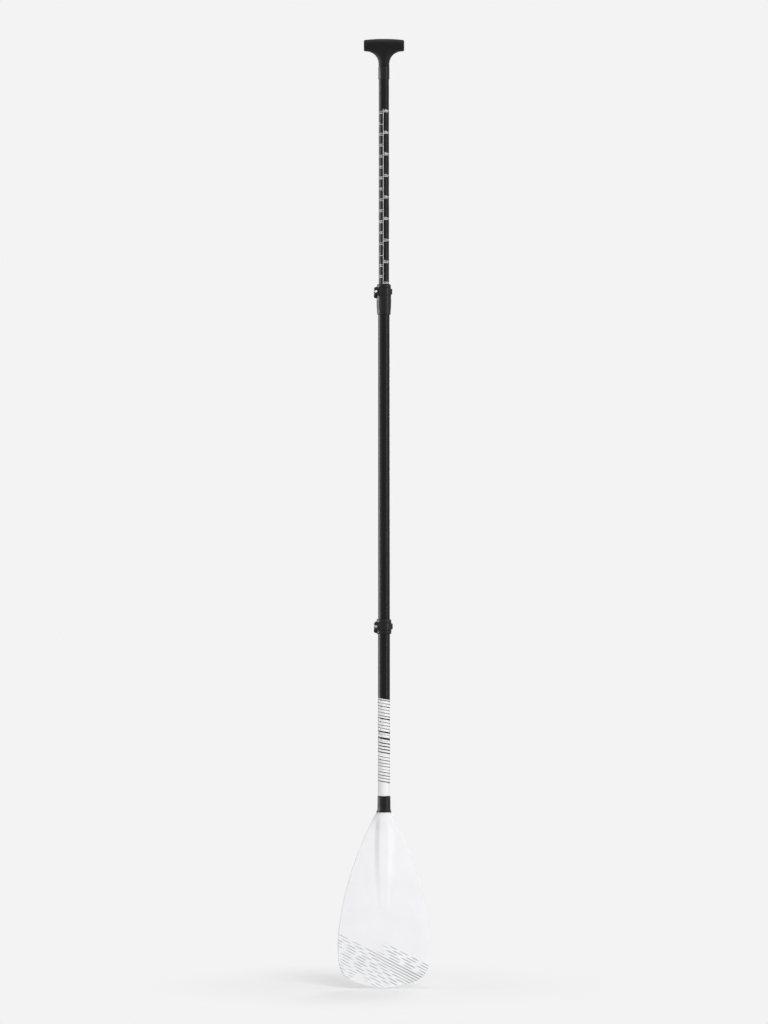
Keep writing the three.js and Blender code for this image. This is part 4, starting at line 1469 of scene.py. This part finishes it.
@dataclass
class LeverClamp:
    """One lever clamp: smooth collar and lever, barrel, bolt and nut. Millimetres and degrees."""

    prefix: str
    band_radius: float
    lever_voxel: float = 0.4
    collar_voxel: float = 0.5
    passes: int = 4
    wall_sides: int = 32
    wall_radii: tuple[float, float] = (11.0, 18.9)
    band_step: float = 125 / 14
    band_start: float = 232.0
    band_inside: float = 0.5
    band_outside: float = 0.2

    def build(self, dresser: Dresser) -> None:
        """Melt the moulded parts and dress the others, the bolt and nut in nickel.

        Args:
            dresser: What gives the pieces their finish.
        """
        round_wall = Facets(360 / self.wall_sides, 0.0, *self.wall_radii)
        band = Facets(self.band_step, self.band_start, self.band_radius - self.band_inside,
                      self.band_radius + self.band_outside)
        for part, body, facets, voxel in (
            ("collar", "shaft", round_wall, self.collar_voxel),
            ("lever", f"{self.prefix}_lever", band, self.lever_voxel),
        ):
            node = f"{self.prefix}_clamp_{part}"
            skin = dresser.melt(f"{node}_skin", frame["nodes"][node], voxel, self.passes, [facets])
            dresser.fit(skin, body, "moulded_black")
            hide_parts(node)
        for part, finish in (("barrel", "moulded_black"), ("bolt", "nickel"), ("nut", "nickel")):
            dresser.dress_node(f"{self.prefix}_clamp_{part}", finish)


@dataclass
class MiddleShaft:
    """The middle tube with its clamp, the insert below it, its plug, the snap button and its spring."""

    clamp: LeverClamp
    finishes: tuple[tuple[str, str], ...] = (
        ("middle_tube", "tube_black"),
        ("insert_tube", "insert_brown"),
        ("insert_end_plug", "insert_brown"),
        ("snap_button", "nickel"),
        ("button_spring", "spring_steel"),
    )

    def build(self, dresser: Dresser) -> None:
        """Dress the nodes and build the clamp.

        Args:
            dresser: What gives the pieces their finish.
        """
        for node, finish in self.finishes:
            dresser.dress_node(node, finish)
        self.clamp.build(dresser)


@dataclass
class BladeSkin:
    """The blade with its tang, as a fine skin on the same sections as the solid. Millimetres."""

    mouth: float = -869.5
    ring_count: int = 150
    sides: int = 90
    crowding: float = 0.62
    ring_crowding: float = 0.45
    length: float = 402.8
    half_width: float = 107.0
    rake_degrees: float = 10.0
    rake_run: float = 60.0
    middle_thickness: float = 8.4
    tip_thickness: float = 4.6
    edge_thickness: float = 3.2
    edge_round: float = 2.2
    front_rib: float = 10.5
    back_rib: float = 9.0
    front_rib_length: float = 245.0
    back_rib_length: float = 150.0
    rib_plateau: float = 0.36
    rib_fade_power: float = 1.25
    shoulder: float = 42.0
    root_radius: float = 13.95
    root_length: float = 14.0
    swell_height: float = 2.0
    swell_half: tuple[float, float] = (15.6, 14.1)
    mouth_half: tuple[float, float] = (17.1, 14.6)
    rib_widths: tuple[tuple[float, float], ...] = (
        (0, 18.0), (45, 22.0), (85, 24.0), (130, 22.0), (180, 17.5), (250, 12.5), (410, 12.0),
    )
    outline: tuple[tuple[float, float], ...] = (
        (0, 0.16), (0.045, 0.25), (0.11, 0.371), (0.227, 0.554), (0.342, 0.711), (0.5, 0.875),
        (0.66, 0.977), (0.765, 1), (0.86, 0.975), (0.915, 0.893), (0.952, 0.74), (0.981, 0.44),
        (0.996, 0.17), (1, 0.03),
    )

    def places(self) -> list[float]:
        """Return the places across the blade, from -1 to 1, crowded towards the edges and the middle."""
        return [crowd(2 * i / self.sides - 1, self.crowding) for i in range(self.sides + 1)]

    def stations(self) -> list[tuple[float, float, float]]:
        """Space the rings along the blade's edge.

        Returns:
            The depth, the half width and the slope of the edge at each ring.
        """
        points = smooth_line([(down * self.length, out * self.half_width) for down, out in self.outline])
        walked = [0.0]
        for a, b in zip(points, points[1:]):
            walked.append(walked[-1] + math.dist(a, b))
        rings = []
        at = 0
        for i in range(1, self.ring_count + 1):
            aim = crowd(i / self.ring_count, self.ring_crowding) * walked[-1]
            while at < len(walked) - 2 and walked[at + 1] < aim:
                at += 1
            share = (aim - walked[at]) / (walked[at + 1] - walked[at])
            a, b = points[at], points[at + 1]
            depth, half = (a[k] + (b[k] - a[k]) * share for k in (0, 1))
            rings.append((depth, half, (b[1] - a[1]) / max(b[0] - a[0], 1e-9)))
        return rings

    def lean(self, depth: float) -> float:
        """Rake the blade, which bends over its first stretch and is straight below.

        Args:
            depth: The depth below the ferrule.

        Returns:
            How far the middle of the blade lies from the shaft's axis there, along Y.
        """
        bend = min(depth, self.rake_run)
        slope = -math.tan(math.radians(self.rake_degrees))
        return slope * (bend**2 / (2 * self.rake_run) + depth - bend)

    def half_thickness(self, across: float, half: float, edge_distance: float, depth: float,
                       rib_half: float, face: BladeFace) -> float:
        """Work out the thickness of one half of the blade.

        Args:
            across: The place across the blade, from -1 to 1.
            half: The blade's half width there.
            edge_distance: The distance to its edge.
            depth: The depth below the ferrule.
            rib_half: The half width of the rib there.
            face: Which face it is.

        Returns:
            The half thickness.
        """
        rib, rib_length = ((self.front_rib, self.front_rib_length) if face is BladeFace.RIBBED
                           else (self.back_rib, self.back_rib_length))
        run = depth / self.length
        middle = self.middle_thickness + (self.tip_thickness - self.middle_thickness) * run
        body = (self.edge_thickness + (middle - self.edge_thickness) * (1 - across**2)) / 2
        edge = min(edge_distance / self.edge_round, 1.0)
        fade = max(1 - depth / rib_length, 0.0) ** self.rib_fade_power
        place = abs(across) * half / rib_half
        ridge = rib * fade * (1 - ease((place - self.rib_plateau) / (1 - self.rib_plateau)))
        return body * math.sqrt(max(1 - (1 - edge) ** 2, 0.0)) + ridge * ease(edge)

    def ring(self, up: float, half: float, front: Sequence[float], back: Sequence[float],
             lean: float) -> list[Corner]:
        """Draw one closed ring of points.

        Args:
            up: The ring's height.
            half: Its half width.
            front: Its half thickness at each place on the ribbed side.
            back: The same on the smooth side.
            lean: How far its middle lies off the axis.

        Returns:
            The points in metres.
        """
        places = self.places()
        there = [(half * a, lean - t) for a, t in zip(places, front)]
        again = [(half * a, lean + t) for a, t in list(zip(places, back))[-2:0:-1]]
        return [(x * MM, y * MM, up * MM) for x, y in there + again]

    def build(self, dresser: Dresser) -> None:
        """Make the skin in place of the solid blade.

        Args:
            dresser: What gives it its finish.
        """
        places = self.places()
        oval = [math.sqrt(max(1 - a**2, 0.0)) for a in places]
        wide, deep = self.mouth_half
        rings = []
        for up, half, depth in (
            (self.mouth + self.root_length, self.root_radius, self.root_radius),
            (self.mouth + self.root_length / 3, self.root_radius, self.root_radius),
            (self.mouth + self.swell_height, *self.swell_half),
            (self.mouth, wide, deep),
        ):
            skin = [depth * part for part in oval]
            rings.append(self.ring(up, half, skin, skin, 0.0))
        ribs = smooth_line(self.rib_widths)
        for depth, half, slope in self.stations():
            rib_half = read_line(ribs, depth)
            square = math.sqrt(1 + slope**2)
            share = ease(depth / self.shoulder)
            faces = []
            for face in BladeFace:
                row = []
                for a, part in zip(places, oval):
                    edge_distance = half * (1 - abs(a)) / square
                    flat = self.half_thickness(a, half, edge_distance, depth, rib_half, face)
                    row.append(deep * part + (flat - deep * part) * share)
                faces.append(row)
            rings.append(self.ring(self.mouth - depth, half, *faces, self.lean(depth)))
        skin = dresser.add_piece("blade_skin", *loft(rings), "shaft", "blade_white", "blade_white")
        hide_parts("blade")


@dataclass
class BladeSection:
    """The lower clamp, the striped tube, the foam stopper in it, the ferrule and the blade."""

    clamp: LeverClamp
    blade: BladeSkin
    finishes: tuple[tuple[str, str], ...] = (
        ("blade_tube", "tube_white"),
        ("blade_tube_stopper", "foam_grey"),
        ("neck_ferrule", "moulded_black"),
    )

    def build(self, dresser: Dresser) -> None:
        """Build the clamp and the blade, and dress the rest.

        Args:
            dresser: What gives the pieces their finish.
        """
        self.clamp.build(dresser)
        for node, finish in self.finishes:
            dresser.dress_node(node, finish)
        self.blade.build(dresser)


@dataclass(frozen=True)
class Lamp:
    """A soft lamp. Metres and watts."""

    name: str
    place: Corner
    size: tuple[float, float]
    power: float
    mirrored: bool = True
    lights: bool = True

    def hang(self, aim: Corner) -> None:
        """Hang the lamp, seen in glossy surfaces or lighting matt ones or both.

        Args:
            aim: What it is aimed at.
        """
        light = bpy.data.lights.new(self.name, "AREA")
        light.shape = "RECTANGLE"
        light.size, light.size_y = self.size
        light.energy = self.power
        holder = into_scene(self.name, light)
        holder.location = self.place
        direction = Vector(aim) - Vector(self.place)
        holder.rotation_euler = direction.to_track_quat("-Z", "Y").to_euler()
        holder.visible_glossy = self.mirrored
        holder.visible_diffuse = self.lights


@dataclass
class Studio:
    """Plain pale floor and backdrop, soft lamps and the camera. Metres, and millimetres for the film."""

    lowest: float
    floor_gap: float = 0.001
    floor_size: float = 60.0
    floor_pale: Colour = shade(248, 248, 248)
    shadow_reach: tuple[float, float] = (0.12, 0.6)
    shadow_glow: float = 0.25
    pale: Colour = shade(243, 243, 243)
    sky_strength: float = 0.33
    camera_height: float = -0.172
    view_height: float = 2.38
    distance: float = 11.0
    sight: float = 200.0
    film: float = 36.0
    lamps: tuple[Lamp, ...] = (
        Lamp("front", (2.2, -4.8, 1.2), (3.0, 3.0), 180.0, mirrored=False),
        Lamp("left_front", (-3.2, -2.6, 0.2), (2.4, 3.2), 22.0, lights=False),
        Lamp("right_strip", (3.1, -1.8, 0.2), (0.5, 3.2), 60.0, lights=False),
        Lamp("left_strip", (-3.4, 0.7, 0.2), (1.7, 3.2), 200.0, lights=False),
        Lamp("rear", (1.6, 5.0, 1.2), (3.0, 3.0), 128.0),
        Lamp("top", (0.3, -0.4, 3.8), (3.0, 3.0), 58.0),
    )

    @staticmethod
    def looked_at(sheet: Sheet) -> bpy.types.NodeSocket:
        """Tell the rays that look at a surface from those that gather its light.

        Args:
            sheet: The sheet of the floor or the backdrop.

        Returns:
            The socket with 1 for a ray from the camera, a mirroring surface or clear material, and else 0.
        """
        rays = sheet.add("ShaderNodeLightPath").outputs
        mirrored = sheet.calc("MAXIMUM", rays["Is Glossy Ray"], rays["Is Transmission Ray"])
        return sheet.calc("MAXIMUM", rays["Is Camera Ray"], mirrored)

    @staticmethod
    def finish_with(sheet: Sheet, output: str, share: Value, usual: bpy.types.Node,
                    seen: bpy.types.Node) -> None:
        """Mix two shaders into the output of a tree.

        Args:
            sheet: The sheet of the tree.
            output: The output's type name.
            share: 0 for the usual shader, 1 for the one that is seen.
            usual: The shader that gives and takes light.
            seen: The shader that is looked at.
        """
        mix = sheet.add("ShaderNodeMixShader")
        for socket, value in zip(mix.inputs, (share, usual.outputs[0], seen.outputs[0])):
            sheet.put(socket, value)
        sheet.put(sheet.add(output).inputs["Surface"], mix.outputs[0])

    def backdrop(self) -> None:
        """Make the world pale where it is seen, and a plain soft light elsewhere."""
        world = bpy.data.worlds.new("studio")
        sheet = Sheet.blank(world)
        seen = sheet.add("ShaderNodeBackground")
        seen.inputs["Color"].default_value = (*self.pale, 1.0)
        seen.inputs["Strength"].default_value = 1.0
        light = sheet.add("ShaderNodeBackground")
        light.inputs["Color"].default_value = (1.0, 1.0, 1.0, 1.0)
        light.inputs["Strength"].default_value = self.sky_strength
        self.finish_with(sheet, "ShaderNodeOutputWorld", self.looked_at(sheet), light, seen)
        bpy.context.scene.world = world

    def floor(self) -> None:
        """Lay the floor: it takes shadows near the paddle and turns into the backdrop further off."""
        half, height = self.floor_size / 2, self.lowest - self.floor_gap
        mesh = bpy.data.meshes.new("floor")
        mesh.from_pydata([(x * half, y * half, height) for x, y in ((-1, -1), (1, -1), (1, 1), (-1, 1))],
                         [], [(0, 1, 2, 3)])
        material = bpy.data.materials.new("floor")
        sheet = Sheet.blank(material)
        matt = sheet.add("ShaderNodeBsdfDiffuse")
        matt.inputs["Color"].default_value = (*self.floor_pale, 1.0)
        seen = sheet.add("ShaderNodeEmission")
        seen.inputs["Color"].default_value = (*self.pale, 1.0)
        length = sheet.add("ShaderNodeVectorMath", operation="LENGTH")
        sheet.put(length.inputs[0], sheet.stretch(sheet.place(), (1.0, 1.0, 0.0)))
        far = sheet.spread(length.outputs["Value"], *self.shadow_reach, self.shadow_glow, smooth=True)
        share = sheet.calc("MULTIPLY", far, self.looked_at(sheet))
        self.finish_with(sheet, "ShaderNodeOutputMaterial", share, matt, seen)
        mesh.materials.append(material)
        plane = into_scene("floor", mesh)
        plane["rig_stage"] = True

    def camera(self) -> None:
        """Set up the camera straight in front, at mid height, with a long lens."""
        lens = bpy.data.cameras.new("camera")
        lens.sensor_fit = "VERTICAL"
        lens.sensor_height = self.film
        lens.lens = self.film * self.distance / self.view_height
        lens.clip_end = self.sight
        holder = into_scene("camera", lens)
        holder.location = (0.0, -self.distance, self.camera_height)
        holder.rotation_euler = (math.pi / 2, 0.0, 0.0)
        bpy.context.scene.camera = holder

    def build(self) -> None:
        """Set everything up."""
        self.backdrop()
        self.floor()
        for lamp in self.lamps:
            lamp.hang((0.0, 0.0, self.camera_height))
        self.camera()
        bpy.context.scene.view_settings.view_transform = "Standard"


def corners(box: Iterable[Vector]) -> list[list[float]]:
    """Return a box as plain lists."""
    return [[float(part) for part in corner] for corner in box]


def clear_leftovers() -> None:
    """Remove whatever isn't part of the loaded frame."""
    for piece in list(bpy.data.objects):
        if "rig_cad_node" not in piece and not piece.name.startswith("body:"):
            bpy.data.objects.remove(piece)


def main() -> None:
    """Build the paddle's looks and the studio."""
    logging.basicConfig(level=logging.INFO, format="%(name)s: %(message)s")
    clear_leftovers()
    cad_box = corners(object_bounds())
    dresser = Dresser(Finishes(), Effects())
    HandleSection(GripSkin(), HeightScale()).build(dresser)
    MiddleShaft(LeverClamp("upper", band_radius=16.7)).build(dresser)
    BladeSection(LeverClamp("lower", band_radius=17.85), BladeSkin()).build(dresser)
    Studio(lowest=cad_box[0][2]).build()
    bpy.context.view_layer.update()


if __name__ == "__main__":
    main()
